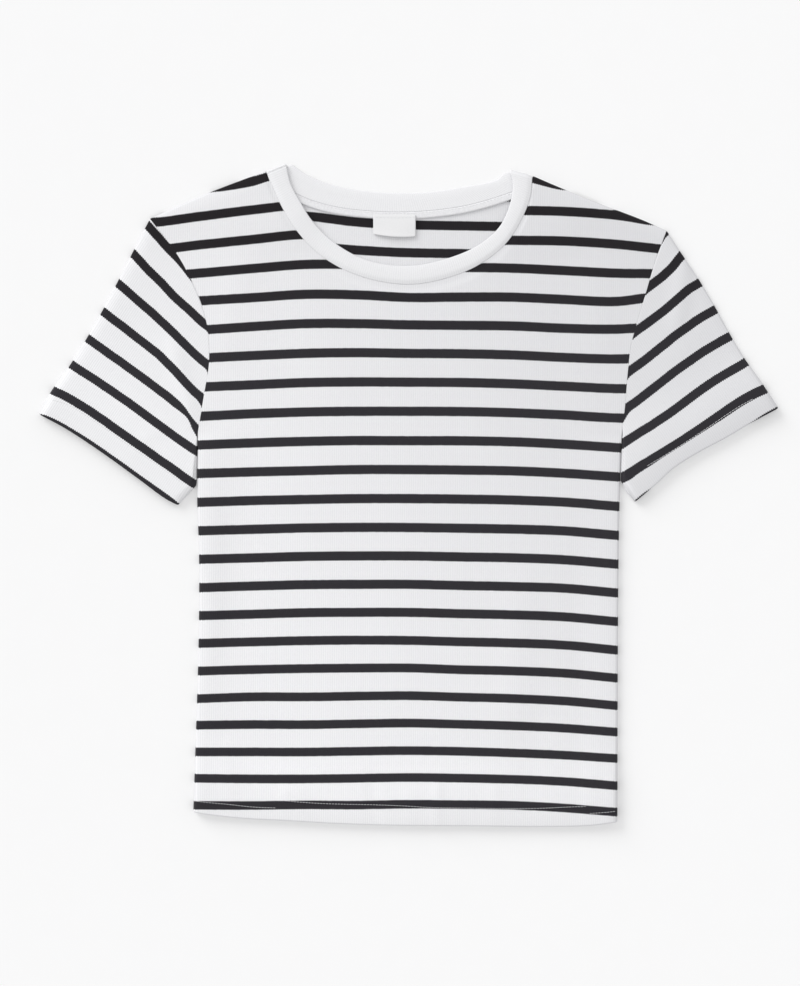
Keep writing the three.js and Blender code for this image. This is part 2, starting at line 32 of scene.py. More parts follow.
# The knit, the seams between pieces, and the hems turned up inside
CLOTH = 1.2
GAP = 0.3
SEAM = 0.04
LAYER = CLOTH + GAP
FOLD_INSET = (LAYER + CLOTH) / 2
HEM_DEPTH = 16.5

# The small pieces
BAND_THICKNESS = 2.4
TAPE_WIDTH, TAPE_THICKNESS = 5.6, 1.0
TAPE_ENDS = 0.09
LABEL_WIDTH, LABEL_LENGTH, LABEL_THICKNESS = 34.8, 15.8, 1.0

# Heights of the cloth's middle: it stands a little higher near its folded edges and over the turned hems
BACK_HEIGHT, FRONT_HEIGHT = 0.6, 2.1
BACK_BAND_HEIGHT = BAND_THICKNESS / 2
EDGE_ROLL, ROLL_WIDTH = 1.5, 22.0
SLEEVE_ROLL, SLEEVE_ROLL_FROM = 1.0, 0.3
SHOULDER_FULL, SHOULDER_FADE = 42.0, 78.0
HEM_LIFT, HEM_ROUND, HEM_EASE, HEM_FADE = 3.0, 1.5, 15.0, 48.0

# Shares of a body panel's height and width, for its edges, rows and columns
ARMPIT, ARMPIT_EASE = 0.62, 0.03
NECK_FROM = 0.18
NECK_ROWS = 0.012
SIDE_COLUMNS_FROM = 0.022
MAIN_ROWS_FROM, MAIN_ROWS_TO = 0.075, 0.987
RELIEF_FADE_FROM = 0.985

# Room left where pieces meet at corners and folds
NECK_CORNER_ROOM, NECK_COLUMN_ROOM = 0.9, 7.0
ARMPIT_ROOM = 0.5
BAND_FOLD_ROOM = 2.8

# A sleeve's rows fan out at the underarm; its columns and the fade of its relief are shares of its width
UNDERARM_FAN = 0.8
SLEEVE_COLUMNS = (0.03, 0.97)
SLEEVE_ROW_ROOM = 4.0
SLEEVE_FADE = 0.05

# Where a trough or ridge begins and ends, as shares of its length
CREASE_BEGINS, CREASE_ENDS = (-0.15, 0.25), (0.75, 1.15)
# An edge that turns less than this share of a quarter turn counts as flat
FLAT_TURN = 0.02
TINY = 1e-12


def chart(text):
    """The rows of numbers in a text."""
    return np.array([row.split() for row in text.strip().splitlines()], float)


def table(text):
    """The columns of a small table by name, with the names in its first line."""
    header, rows = text.strip().split("\n", 1)
    return dict(zip(header.split(), chart(rows).T))


SIDE = table("""
leftX leftY rightX rightY
-176.7 -259.7 171.2 -267.9
-174.8 -201 171.4 -201
-172.4 -119 171.7 -119
-172 -53.4 172.2 -53.4
-173.7 4 173.3 4
-173 51.5 174.7 49.1
""")
ARMHOLE = table("""
leftX leftY rightX rightY
-173 51.5 174.7 49.1
-168 81.9 177.6 74.5
-163.8 108.9 179.7 100.7
-164.5 133.5 182.4 122.9
-169.9 156.5 187.3 141.7
-179.3 178.6 194.5 165.9
-191.2 199.5 202.4 192.6
-212.3 227 211.6 217.2
""")
SHOULDER = table("""
leftX leftY rightX rightY
-212.3 227 211.6 217.2
-184.6 239.6 190.1 226.6
-163.7 248.4 157.3 239.1
-137.9 258.3 124.5 252.4
-116.5 266.3 101.2 262.4
""")
HEM = table("""
x y
-176.7 -259.7
-163.6 -261.9
-135 -265
-96.9 -267
-58.4 -269.2
-14.2 -270.6
55.3 -271.2
108.1 -271.7
146.9 -270.9
171.2 -267.9
""")
BAND_FRONT = table("""
seamX seamY freeX freeY
-116.5 266.3 -100.3 272.3
-115.3 261.2 -98.9 263.5
-111.2 252.2 -96.3 254.5
-102.8 234.1 -89.2 241.2
-86 209.8 -79.4 225.7
-64.1 191.1 -60.9 207.3
-34.2 178 -33 192.6
1 173 0.7 188.3
31.8 178.4 31 194.2
57.9 189.3 56.4 204.9
80.4 207.3 74.5 220.5
94.7 230.7 83 239.1
100.3 247 85.3 252.4
101.1 256 84.5 260.5
101.2 262.4 81.6 266.8
""")
BAND_BACK = table("""
seamX seamY freeX freeY
-116.5 266.3 -100.3 272.3
-115.2 261.4 -95.3 271.2
-108.3 255.8 -88.5 266.4
-96.9 249.6 -79 261.2
-80.5 242.2 -67.5 256.4
-60 236.6 -50.5 252
-35.4 233.4 -31 249.2
-8.4 232.3 -8.4 247.9
19.5 233.6 17.9 248.8
47.4 237.7 44.1 252.8
75.3 245.5 66.5 256.9
92.7 252.2 73.5 259.6
100.1 257.2 78.3 264.4
101.2 262.4 81.6 266.8
""")
SLEEVE_OUTER = table("""
leftX leftY rightX rightY
-212.3 227 211.6 217.2
-228.5 195.6 223.2 199.4
-241.1 171 237.8 177.5
-253.1 148.5 250.9 155.5
-265.8 126.4 262.9 133.5
-279.1 105.2 275.4 112.6
-294.6 83.3 290.1 91.7
-303.2 66.5 303.3 71.5
""")
SLEEVE_HEM = table("""
leftX leftY rightX rightY
-303.2 66.5 303.3 71.5
-282 55.1 280.5 59.2
-261.8 42.1 259.6 46.8
-242.1 28.4 239.3 36
-219.5 11.9 218 22.7
-200.1 -2.4 203.2 9.4
-189.3 -8.2 185.6 -5.5
""")
UNDERARM = table("""
leftX leftY rightX rightY
-173 51.5 174.7 49.1
-173.8 20.4 174 20.4
-175.2 5.6 174.7 4.8
-189.3 -8.2 185.6 -5.5
""")
# The panels' own fullness: soft troughs and ridges from a first place to a second
CREASES = table("""
x0 y0 x1 y1 height width
-195.8 128.2 -175.8 62.2 1.6 8
226.2 196.2 219.2 132.2 1.4 8
-159.8 20.2 -163.8 -149.8 0.7 10
92.2 -59.8 86.2 -189.8 0.9 16
-99.8 -237.8 -103.8 -261.8 0.6 5
0.2 -239.8 2.2 -265.8 0.5 6
46.2 -235.8 44.2 -265.8 0.5 6
-137.8 196.2 -149.8 110.2 0.6 14
150.2 190.2 162.2 110.2 0.6 14
""")


def smooth(start, end, value):
    t = np.clip((value - start) / (end - start), 0, 1)
    return t * t * (3 - 2 * t)


def mix(a, b, t):
    return a + (b - a) * t


def unit(vectors):
    return vectors / np.maximum(np.linalg.norm(vectors, axis=-1, keepdims=True), TINY)


class Curve:
    """A smooth curve through a table's points, read by share of its length."""

    STEPS_BETWEEN_POINTS = 160

    def __init__(self, rows, x, y):
        points = np.stack([rows[x], rows[y]], 1)
        first, last = 2 * points[0] - points[1], 2 * points[-1] - points[-2]
        padded = np.vstack([first, points, last])
        pieces = []
        t = np.linspace(0, 1, self.STEPS_BETWEEN_POINTS, endpoint=False)[:, None]
        for a, b, c, d in zip(padded, padded[1:], padded[2:], padded[3:]):
            before, here, after = (np.linalg.norm(q - p) ** 0.5 for p, q in ((a, b), (b, c), (c, d)))
            leave = ((b - a) / before - (c - a) / (before + here) + (c - b) / here) * here
            arrive = ((c - b) / here - (d - b) / (here + after) + (d - c) / after) * here
            pieces.append(
                b + leave * t
                + (3 * (c - b) - 2 * leave - arrive) * t**2
                + (2 * (b - c) + leave + arrive) * t**3
            )
        self.points = np.vstack([*pieces, points[-1:]])
        steps = np.linalg.norm(np.diff(self.points, axis=0), axis=1)
        lengths = join([[0], np.cumsum(steps)])
        self.length = lengths[-1]
        self.shares = lengths / self.length
        self.ways = unit(np.gradient(self.points, self.shares, axis=0))

    def at(self, share):
        """Points at shares of the length."""
        share = np.clip(share, 0, 1)
        return np.stack([np.interp(share, self.shares, self.points[:, k]) for k in (0, 1)], -1)

    def side(self, share, hand):
        """Points, and the normals on the curve's left (hand 1) or right (hand -1)."""
        share = np.clip(share, 0, 1)
        way = np.stack([np.interp(share, self.shares, self.ways[:, k]) for k in (0, 1)], -1)
        return self.at(share), unit(np.stack([-way[..., 1], way[..., 0]], -1)) * hand


def in_from(edge, distance):
    point, inward = edge
    return point + inward * np.asarray(distance)[..., None]


def in_from_corner(a, distance_a, b, distance_b):
    """The points at given distances from two edges that meet at a corner."""
    (point, na), (_, nb) = a, b
    cross = na[..., 0] * nb[..., 1] - na[..., 1] * nb[..., 0]
    x = (distance_a * nb[..., 1] - distance_b * na[..., 1]) / cross
    y = (distance_b * na[..., 0] - distance_a * nb[..., 0]) / cross
    return point + np.stack([x, y], -1)


def patch(left, right, bottom, top, reach=1):
    """A mapping of (u, v) to points between four edges, bending with a side edge as far as its reach."""

    def bulge(edge, v):
        start, end = edge(np.zeros_like(v)), edge(np.ones_like(v))
        return edge(v) - mix(start, end, v[..., None])

    def flat(u, v):
        return (
            mix(bottom(u), top(u), v[..., None])
            + bulge(left, v) * np.clip(1 - u / reach, 0, 1)[..., None]
            + bulge(right, v) * np.clip(1 - (1 - u) / reach, 0, 1)[..., None]
        )

    return flat


def edge_room(turned):
    """How far in from a seam the middle of the cloth ends."""
    return (SEAM + turned * CLOTH) / 2


def bend(half_apart, turned, share, layer=0.0):
    """How far out and down cloth lies after part of a quarter turn."""
    radius = half_apart - SEAM / 2
    angle = pi / 2 * share
    steep = np.maximum(turned, FLAT_TURN)
    wide = radius / steep
    is_flat = turned < FLAT_TURN
    out = np.where(is_flat, radius * angle, (wide + layer) * np.sin(angle * steep))
    down = np.where(is_flat, -layer, wide - (wide + layer) * np.cos(angle * steep))
    return out, down


def bend_room(radius, turned):
    """How far in from a seam the cloth begins to bend."""
    return edge_room(turned) + bend(radius, turned, 1.0)[0]


def spatial(vectors):
    """Plan vectors as vectors in space."""
    return join([vectors, np.zeros(vectors.shape[:-1] + (1,))], -1)


UP = np.array([0.0, 0.0, 1.0])


def turn_normal(start, towards, angle):
    """Normals turned by an angle towards another way."""
    angle = np.asarray(angle)[..., None]
    return unit(start * np.cos(angle) + towards * np.sin(angle))


def fold_out(fold):
    """How far out a hem's cloth lies after part of its fold."""
    return LAYER / 2 * np.sin(fold * pi)


def fold_layer(fold):
    """A hem's cloth against the outer layer after part of its fold; inside is negative."""
    return LAYER / 2 * (np.cos(fold * pi) - 1)


side_seam, armhole, shoulder = (
    {name: Curve(rows, name + "X", name + "Y") for name in ("left", "right")}
    for rows in (SIDE, ARMHOLE, SHOULDER)
)
hem = Curve(HEM, "x", "y")
neck_seam, free_edge = (
    {face: Curve(rows, edge + "X", edge + "Y") for face, rows in (("front", BAND_FRONT), ("back", BAND_BACK))}
    for edge in ("seam", "free")
)
neck_ends = neck_seam["front"].at(np.array([0.0, 1.0]))


def crease_height(point, creases):
    """The height of troughs and ridges at plan points."""
    height = np.zeros(point.shape[:-1])
    for x0, y0, x1, y1, rise, width in zip(*creases.values()):
        way = np.array([x1 - x0, y1 - y0])
        start = point - (x0, y0)
        share = start @ way / (way @ way)
        aside = (start[..., 0] * way[1] - start[..., 1] * way[0]) / np.linalg.norm(way) / width
        ends = smooth(*CREASE_BEGINS, share) * (1 - smooth(*CREASE_ENDS, share))
        height += rise * np.exp(-aside * aside) * ends
    return height


def roll(distance):
    """How much of an edge's roll is left this far from it, as a share."""
    return np.exp(-((distance / ROLL_WIDTH) ** 2))


def hem_lift(distance):
    """How far the cloth rises over a turned hem."""
    return HEM_LIFT * (1 - smooth(HEM_DEPTH + HEM_ROUND, HEM_DEPTH + HEM_FADE, distance))


def turned_down(v):
    """How much of a quarter turn a side edge makes: all below the armpit, none at the armhole."""
    return 1 - smooth(ARMPIT - ARMPIT_EASE, ARMPIT, v)


class Outline:
    """A body panel's outline: side seams and armholes, the hem, and shoulders with the neck between."""

    def __init__(self, face):
        self.face = face
        self.flat = patch(
            lambda v: self.side(v, "left")[0],
            lambda v: self.side(v, "right")[0],
            lambda u: hem.side(u, 1)[0],
            lambda u: self.top(u)[0],
            NECK_FROM,
        )

    def side(self, v, name):
        hand = -1 if name == "left" else 1
        low = side_seam[name].side(v / ARMPIT, hand)
        high = armhole[name].side((v - ARMPIT) / (1 - ARMPIT), hand)
        below = (v <= ARMPIT)[..., None]
        return tuple(np.where(below, a, b) for a, b in zip(low, high))

    def top(self, u):
        left = shoulder["left"].side(u / NECK_FROM, -1)
        right = shoulder["right"].side((1 - u) / NECK_FROM, 1)
        neck = neck_seam[self.face].side((u - NECK_FROM) / (1 - 2 * NECK_FROM), -1)
        on_left, on_right = (u <= NECK_FROM)[..., None], (u >= 1 - NECK_FROM)[..., None]
        return tuple(np.where(on_left, a, np.where(on_right, b, c)) for a, b, c in zip(left, right, neck))


outlines = {"front": Outline("front"), "back": Outline("back")}


def front_height(u, v):
    """Height of the middle of the front's cloth."""
    flat = outlines["front"].flat
    low, high = np.zeros_like(u), np.ones_like(u)
    point = flat(u, v)
    length = np.linalg.norm(flat(u, high) - flat(u, low), axis=-1)
    width = np.linalg.norm(flat(high, v) - flat(low, v), axis=-1)
    on_shoulder = (u <= NECK_FROM) | (u >= 1 - NECK_FROM)
    beside_seam = turned_down(v) * roll(np.minimum(u, 1 - u) * width)
    beside_shoulder = np.where(on_shoulder, roll((1 - v) * length), 0)
    neck_end = np.minimum(*(np.linalg.norm(point - end, axis=-1) for end in neck_ends))
    flatness = (1 - beside_seam) * (1 - beside_shoulder) * smooth(SHOULDER_FULL, SHOULDER_FADE, neck_end)
    return FRONT_HEIGHT + EDGE_ROLL * (1 - flatness) + crease_height(point, CREASES) + hem_lift(v * length)


def steps(values, count):
    """Fine steps between the given values, count of them in all."""
    values = np.array(values, float)
    return np.interp(np.linspace(0, len(values) - 1, count), np.arange(len(values)), values)


def spread(start, end, count):
    """Even steps strictly between two values."""
    return np.linspace(start, end, count + 2)[1:-1]


class Grid:
    """Places of the cloth's middle in rows and columns, the normals there, and values to paint by."""

    def __init__(self, place, normal):
        self.place, self.normal, self.paint = place, normal, {}


# Shares of a quarter turn and of a half turn at which the cloth has rows
QUARTER = steps([0, 1], 5)[1:]
HALF = steps([0, 1], 7)[1:-1]
TURN_ROWS, FOLD_ROWS = len(QUARTER) + 1, len(HALF) + 2


def body_grid(face, inner, rows):
    """A body panel: its hem allowance turned up inside, its seamed edges turned to meet the other panel."""
    outline = outlines[face]
    flat = outline.flat
    fold_room = NECK_COLUMN_ROOM / neck_seam[face].length
    neck = mix(NECK_FROM, 1 - NECK_FROM, steps([fold_room, 1 - fold_room], inner[1]))
    side = join([spread(SIDE_COLUMNS_FROM, NECK_FROM, inner[0]), [NECK_FROM]])
    u = join([[0] * TURN_ROWS, side, neck, 1 - side[::-1], [1] * TURN_ROWS])
    column_share = join([QUARTER[::-1], np.zeros(len(u) - 2 * len(QUARTER)), QUARTER])
    allowance = [HEM_DEPTH, HEM_DEPTH / 2]
    near = steps([HEM_ROUND, HEM_EASE], rows[0]) + HEM_DEPTH
    main = spread(MAIN_ROWS_FROM, MAIN_ROWS_TO, rows[1])
    distance = join([allowance, np.zeros(FOLD_ROWS), near, np.zeros(len(main) + TURN_ROWS)])
    folded = join([[1, 1, 1], HALF[::-1]])
    fold = join([folded, np.zeros(len(distance) - len(folded))])
    row_v = join([np.zeros(len(allowance) + FOLD_ROWS + len(near)), main, [1] * TURN_ROWS])
    row_share = join([np.zeros(len(distance) - len(QUARTER)), QUARTER])
    shape = (len(distance), len(u))
    low, high = np.zeros(len(u)), np.ones(len(u))
    length = np.linalg.norm(flat(u, high) - flat(u, low), axis=-1)
    u, share = (np.broadcast_to(a, shape).copy() for a in (u, column_share))
    fold, rise = (np.broadcast_to(a[:, None], shape).copy() for a in (fold, row_share))
    v = row_v[:, None] + distance[:, None] / length
    layer = fold_layer(fold)
    point = flat(u, v)
    base = front_height(u, v)
    if face == "front":
        base = base + relief(point) * (1 - smooth(RELIEF_FADE_FROM, 1, v))
    radius = (base - BACK_HEIGHT) / 2
    turned = turned_down(v)
    on_shoulder = (u <= NECK_FROM) | (u >= 1 - NECK_FROM)
    top_turn = on_shoulder.astype(float)
    side_out, side_down = bend(radius, turned, share, layer)
    edge = (u == 0) | (u == 1)
    from_side = bend_room(radius, turned) - np.where(edge, side_out, 0)
    top_out, top_down = bend(radius, top_turn, rise)
    from_top = bend_room(radius, top_turn) - top_out
    from_hem = FOLD_INSET - fold_out(fold)
    ends = {n: outline.side(v, n) for n in ("left", "right")}
    is_left = (u < 0.5)[..., None]
    at_side = tuple(np.where(is_left, a, b) for a, b in zip(ends["left"], ends["right"]))
    at_top, at_bottom = outline.top(u), hem.side(u, 1)
    at_neck = neck_seam[face].side((u >= 0.5).astype(float), -1)
    place = point.copy()

    def put(where, points):
        place[where] = points[where]

    put(edge, in_from(at_side, from_side))
    at_zero, at_one = v == 0, v == 1
    put(at_zero & ~edge, in_from(at_bottom, from_hem))
    put(at_zero & edge, in_from_corner(at_side, from_side, at_bottom, from_hem))
    put(at_one & ~edge, in_from(at_top, from_top))
    put(at_one & edge, in_from_corner(at_side, from_side, at_top, from_top))
    short = at_one & ~on_shoulder & (rise < 1)
    put(short, flat(u, 1 - NECK_ROWS * (1 - rise) ** 2))
    neck_corner = at_one & ((u == NECK_FROM) | (u == 1 - NECK_FROM))
    put(neck_corner, in_from_corner(at_top, from_top, at_neck, np.full(shape, NECK_CORNER_ROOM)))
    down = np.where(edge, side_down, -layer) + np.where(rise > 0, top_down, 0)
    hand = 1 if face == "front" else -1
    z = base - down if face == "front" else BACK_HEIGHT + down
    normal = np.broadcast_to(UP * hand, shape + (3,))
    turn = np.where(edge, share * turned, 0) * pi / 2
    normal = turn_normal(normal, spatial(-at_side[1]), turn)
    normal = turn_normal(normal, spatial(-at_top[1]), np.where(at_one & on_shoulder, rise, 0) * pi / 2)
    normal = turn_normal(normal, spatial(-at_bottom[1]), fold * pi)
    return Grid(join([place, z[..., None]], -1), normal)


def sleeve_patch(name):
    """The sleeve's edges and the mapping between them; u runs from the folded outer edge to the underarm."""
    hand = 1 if name == "left" else -1
    outer_line, hem_line, under_line = (
        Curve(rows, name + "X", name + "Y") for rows in (SLEEVE_OUTER, SLEEVE_HEM, UNDERARM)
    )
    edges = {
        "outer": lambda v: outer_line.side(v, hand),
        "under": lambda v: under_line.side(v - UNDERARM_FAN * v * (1 - v) ** 2, -hand),
        "seam": lambda u: armhole[name].side(1 - u, hand),
        "opening": lambda u: hem_line.side(u, hand),
    }
    flat = patch(
        lambda v: edges["outer"](v)[0],
        lambda v: edges["under"](v)[0],
        lambda u: edges["seam"](u)[0],
        lambda u: edges["opening"](u)[0],
    )
    return edges, flat


def sleeve_grid(name, across, rows):
    """A sleeve: a flattened tube from the armhole to a turned-up hem."""
    edges, flat = sleeve_patch(name)
    share = join([[0], steps(SLEEVE_COLUMNS, across - 2), [1]])
    u = join([1 - share[::-1], [1] * len(HALF), 1 - share, [0] * len(HALF)])
    angle = join([
        [pi / 2] * across,
        pi * (0.5 - HALF),
        [-pi / 2] * across,
        pi * (HALF - 0.5),
    ])
    near = (steps([HEM_ROUND, HEM_EASE], rows[0]) + HEM_DEPTH)[::-1]
    main = steps([0, 1], rows[1])
    allowance = [HEM_DEPTH / 2, HEM_DEPTH]
    distance = join([np.zeros(len(main)), near, np.zeros(FOLD_ROWS), allowance])
    row_share = join([main, np.full(len(distance) - len(main), np.nan)])
    fold = join([np.zeros(len(main) + len(near) + 1), HALF, [1, 1, 1]])
    shape = (len(distance), len(u))
    low, high = np.zeros(len(u)), np.ones(len(u))
    length = np.linalg.norm(flat(u, high) - flat(u, low), axis=-1)
    ease = 1 - (HEM_DEPTH + HEM_EASE + SLEEVE_ROW_ROOM) / length
    v = np.where(
        np.isnan(row_share)[:, None],
        1 - distance[:, None] / length,
        np.nan_to_num(row_share)[:, None] * ease,
    )
    u, angle = (np.broadcast_to(a, shape).copy() for a in (u, angle))
    fold = np.broadcast_to(fold[:, None], shape).copy()
    layer = fold_layer(fold)
    point = flat(u, v)
    width = np.linalg.norm(flat(np.zeros_like(v), v) - flat(np.ones_like(v), v), axis=-1)
    upper = relief(point) * smooth(0, SLEEVE_FADE, u) * smooth(0, SLEEVE_FADE, 1 - u) * (angle > 0)
    edge_roll = mix(EDGE_ROLL, SLEEVE_ROLL, smooth(0, SLEEVE_ROLL_FROM, v)) * roll(u * width)
    top = FRONT_HEIGHT + edge_roll + crease_height(point, CREASES) + hem_lift((1 - v) * length)
    radius = (top - BACK_HEIGHT) / 2
    outer, under, opening, seam = edges["outer"](v), edges["under"](v), edges["opening"](u), edges["seam"](u)
    is_outer = (u == 0)[..., None]
    at_edge = tuple(np.where(is_outer, a, b) for a, b in zip(outer, under))
    from_edge = edge_room(1) + radius - (radius + layer) * np.cos(angle)
    from_hem = FOLD_INSET - fold_out(fold)
    edge = (u == 0) | (u == 1)
    place = point.copy()

    def put(where, points):
        place[where] = points[where]

    put(edge, in_from(at_edge, from_edge))
    at_seam, at_opening = v == 0, v == 1
    put(at_opening & ~edge, in_from(opening, from_hem))
    put(at_opening & edge, in_from_corner(at_edge, from_edge, opening, from_hem))
    put(at_seam, in_from(seam, np.full(shape, SEAM / 2)))
    put(at_seam & (u == 0), in_from_corner(outer, from_edge, seam, np.full(shape, SEAM / 2)))
    put(at_seam & (u == 1), in_from(under, from_edge + ARMPIT_ROOM))
    z = BACK_HEIGHT + radius + (radius + layer) * np.sin(angle) + upper
    facing = UP * np.sign(angle)[..., None]
    around = turn_normal(spatial(-at_edge[1]), UP, angle)
    normal = np.where(edge[..., None], around, facing)
    normal = turn_normal(normal, spatial(-opening[1]), fold * pi)
    return Grid(join([place, z[..., None]], -1), normal)


# Height of each black stripe's middle at even steps across the body, a row a stripe from the neck down
CHART_LEFT, CHART_STEP = -213.4, 42.64
BODY_STRIPES = chart("""
245.9 250.9 257.3 270.5 266 263 262 263 253.7 251.2 246.7
223.3 228.7 234 238.3 236.4 234.8 234 233.6 232.7 229.6 223.3
200.8 205.5 209.8 213.9 212.3 210.6 209.8 209.1 208.5 205.9 201.6
179 182.3 186 189.3 189.3 187.7 187 186.3 184.3 182.2 181.7
157.3 159.6 162.1 164.8 164.4 162.3 162.6 162.5 160.6 159 164.3
133.9 135.6 138.4 140.8 140.8 139.8 139.4 138.9 137 136.3 138.9
110.5 112.5 114.6 116.4 117 116.4 116.1 115.1 113.1 111.8 113.4
86.9 88.8 90.6 92.4 93 92.8 92.5 91.4 89.5 87.5 87.4
62.7 64.8 66.9 68.3 68.9 68.9 68.7 67.7 65.9 63.4 63
39.5 41.3 43 44.2 44.9 44.8 44.7 43.9 41.9 39.1 36.2
16.6 17.9 19.2 20.2 21.1 21.1 20.7 20 18.1 15.2 12.2
-7 -5.7 -4.3 -3.4 -2.7 -2.7 -3.1 -3.9 -5.6 -9 -12.3
-30.1 -29 -27.9 -26.8 -26.3 -26.4 -27 -27.7 -29.2 -32.8 -36.3
-53.5 -52.4 -51.3 -50.1 -49.7 -49.7 -50.5 -51.2 -52.9 -56.4 -59.8
-77 -75.7 -74.4 -73.3 -73 -73 -74 -74.8 -76.2 -80 -83.8
-99.7 -98.6 -97.5 -96.3 -96 -96 -97.1 -98 -99.7 -103.5 -107.2
-122.3 -121.3 -120.2 -119.2 -118.8 -119 -120.1 -121.1 -122.9 -126.9 -130.9
-145.2 -144 -142.9 -142.1 -141.7 -141.6 -143 -144 -145.9 -149.8 -153.8
-167.8 -166.6 -165.3 -165.3 -164.7 -164.3 -165.5 -166.6 -168.7 -172.4 -176
-188.9 -188.4 -188 -188.1 -187.4 -186.8 -187.8 -189 -191 -194.1 -197.3
-210.2 -210.3 -210.4 -210.5 -209.9 -209.4 -210 -211.3 -213.1 -215.7 -218.4
-231.2 -231.8 -232.4 -232.4 -231.9 -231.3 -231.8 -232.8 -234.6 -237.9 -241.2
-253.7 -253.9 -254.1 -253.6 -253.8 -253.1 -253.4 -254 -256.2 -259.5 -262.9
""")
# Above the armpits the back's stripes lie half a pitch off the front's, and left of a place near the middle
# they rise the further out they are
BACK_SHIFT, BACK_SHIFT_FROM, BACK_SHIFT_TO = 11.4, 58.0, 178.0
BACK_LEAN, BACK_LEAN_FROM, BACK_LEAN_EASE = 0.09, -42.0, 9.0
# Each sleeve's black stripes: how far up the sleeve from the hem's outer corner each one's middle lies, at
# even steps across the sleeve from that corner in
SLEEVE_STEP = 8.0
SLEEVE_STRIPES = {"left": chart("""
175.6 173.4 171.4 169.8 167.6 164.8 162.4 160 156 150.5 146 143 135 118 103 90 80 70
150.6 148.5 146.9 145.4 143.4 141.5 140.2 139.1 137.6 136.3 135.3 129 121 109 95 81 70 60
124.7 123.6 122.5 121.4 120.4 119 117.7 116.2 114.5 112.9 111.3 110.1 108.8 101 88 75 64 54
99.1 98.4 98 97.3 96.6 96.1 95.4 94.6 92.9 91.3 89.3 87.2 85.4 83.9 79 69 59 49
73.9 73.5 73.2 72.8 72.7 72.3 71.9 71.5 71.1 70.5 70 69.1 67.8 65.6 62 58.2 52 45
48.8 48.7 48.8 48.9 48.7 48.7 48.4 48.3 47.9 47.5 47 46.6 46.2 45.8 45.6 45.4 45.2 40
22.8 24.1 24.7 25 25.3 25.1 25 24.6 24.3 24.1 23.8 23.7 23.4 23 23 22.7 22.2 22
-2.7 -0.5 0.7 1.4 1.7 2 2 1.9 1.7 1.4 1.1 0.8 0.4 0.1 -0.1 -0.4 -0.8 -1.6
"""), "right": chart("""
171.6 168.4 164.6 160 154 150 146 142 137 132 127 120 112 104 96 87 78 70 60
147.6 144.9 143.2 142.2 141.6 140.9 138.5 134 130 125 119 113 105 96 88 79 70 62 52
121.6 121.9 120.9 119.8 118.7 118 117.5 117 116.8 115.4 111 106 98.5 90 81.5 72.5 64 56 46
96.1 96.7 97 96.7 96.4 96 95.1 94.4 93.6 92.9 92.5 92 89 83.5 76 66.5 58 50 40
71.1 71.7 72.1 72.5 72.5 72.2 72 71.6 70.9 70.2 69.6 68.9 68.3 67.8 64.4 59.5 52 44.5 35
46.2 46.5 47 47.4 47.6 47.5 47.2 46.7 46.2 45.7 45.4 45.4 45.3 45.6 45.6 45.6 44.6 37 30
19.2 20.5 21.4 21.8 21.8 21.6 21.3 21.1 20.9 20.9 20.8 20.9 21.1 21.4 21.7 22.1 22.1 22.2 22.2
-2 -1.3 -0.9 -0.9 -1.2 -1.7 -1.4 -0.9 0.1 0.7 1 1.2 1.2 0.4 -0.9 -1.3 -1 -1.8 -2.8
""")}
# Where a stripe of the left sleeve is pinched in a crease: across, along, and how far each way
SLEEVE_PINCH, PINCHED = (104.0, -65.0, 10.0, 8.0), 0.5
# Stripes go on this far apart past both ends of a sleeve's chart
SLEEVE_PITCH_PAST = 26
PITCH_REACH, PITCH_LEAST, PITCH_MOST = 0.5, 9, 32
# Beside the right sleeve's stitches its stripe is wider
SLEEVE_WIDER, SLEEVE_WIDER_AT, SLEEVE_WIDER_REACH = 0.9, -21.7, 6.0
SLEEVE_STRIPE_WIDTH = {"left": 7.2, "right": 7.5}
STRIPE_WIDTH, STRIPE_WIDTH_LOW = 7.8, 7.2
STRIPE_NARROWS_FROM, STRIPE_NARROWS_TO = 0, -260
RIB_PITCH = 1.8
LAST_COLUMN_ROOM = 1e-6


def across_columns(rows, place):
    """Rows of a chart read between its even columns, smoothly, and going on straight past them."""
    last = rows.shape[1] - 1
    inside = np.clip(place, 0, last - LAST_COLUMN_ROOM)
    slope = np.where(place < inside, rows[:, 1:2] - rows[:, :1], rows[:, -1:] - rows[:, -2:-1])
    k = inside.astype(int)
    t = inside - k
    a, b, c, d = (rows[:, np.clip(k + n, 0, last)] for n in (-1, 0, 1, 2))
    m, n = (c - a) / 2, (d - b) / 2
    level = b + m * t + (3 * (c - b) - 2 * m - n) * t**2 + (2 * (b - c) + m + n) * t**3
    return level + slope * (place - inside)


def between_rows(levels, value):
    """Row number and fraction at which falling levels reach a value, and the step between rows there."""
    count = len(levels)
    k = np.clip((levels > value).sum(0) - 1, 0, count - 2)
    upper = np.take_along_axis(levels, k[None], 0)[0]
    lower = np.take_along_axis(levels, (k + 1)[None], 0)[0]
    return k + (upper - value) / (upper - lower), upper - lower


def body_course(point, shift=0.0):
    """Stripe number at plan points, and the distance between stripes there."""
    place = (point[..., 0] - CHART_LEFT) / CHART_STEP
    levels = across_columns(BODY_STRIPES, place.ravel())
    course, pitch = between_rows(levels, (point[..., 1] - shift).ravel())
    return course.reshape(place.shape), pitch.reshape(place.shape)


def sleeve_ways(name):
    """The hem's outer corner, and the ways across the sleeve and along it towards the hem."""
    corner, inner = (np.array([edge[name + axis][-1] for axis in "XY"]) for edge in (SLEEVE_OUTER, UNDERARM))
    across = unit(inner - corner)
    return corner, across, np.array([-across[1], across[0]]) * (-1 if name == "left" else 1)


def sleeve_places(name, point):
    """Plan points as places across a sleeve and along it."""
    corner, across, along = sleeve_ways(name)
    return (point - corner) @ across, (point - corner) @ along


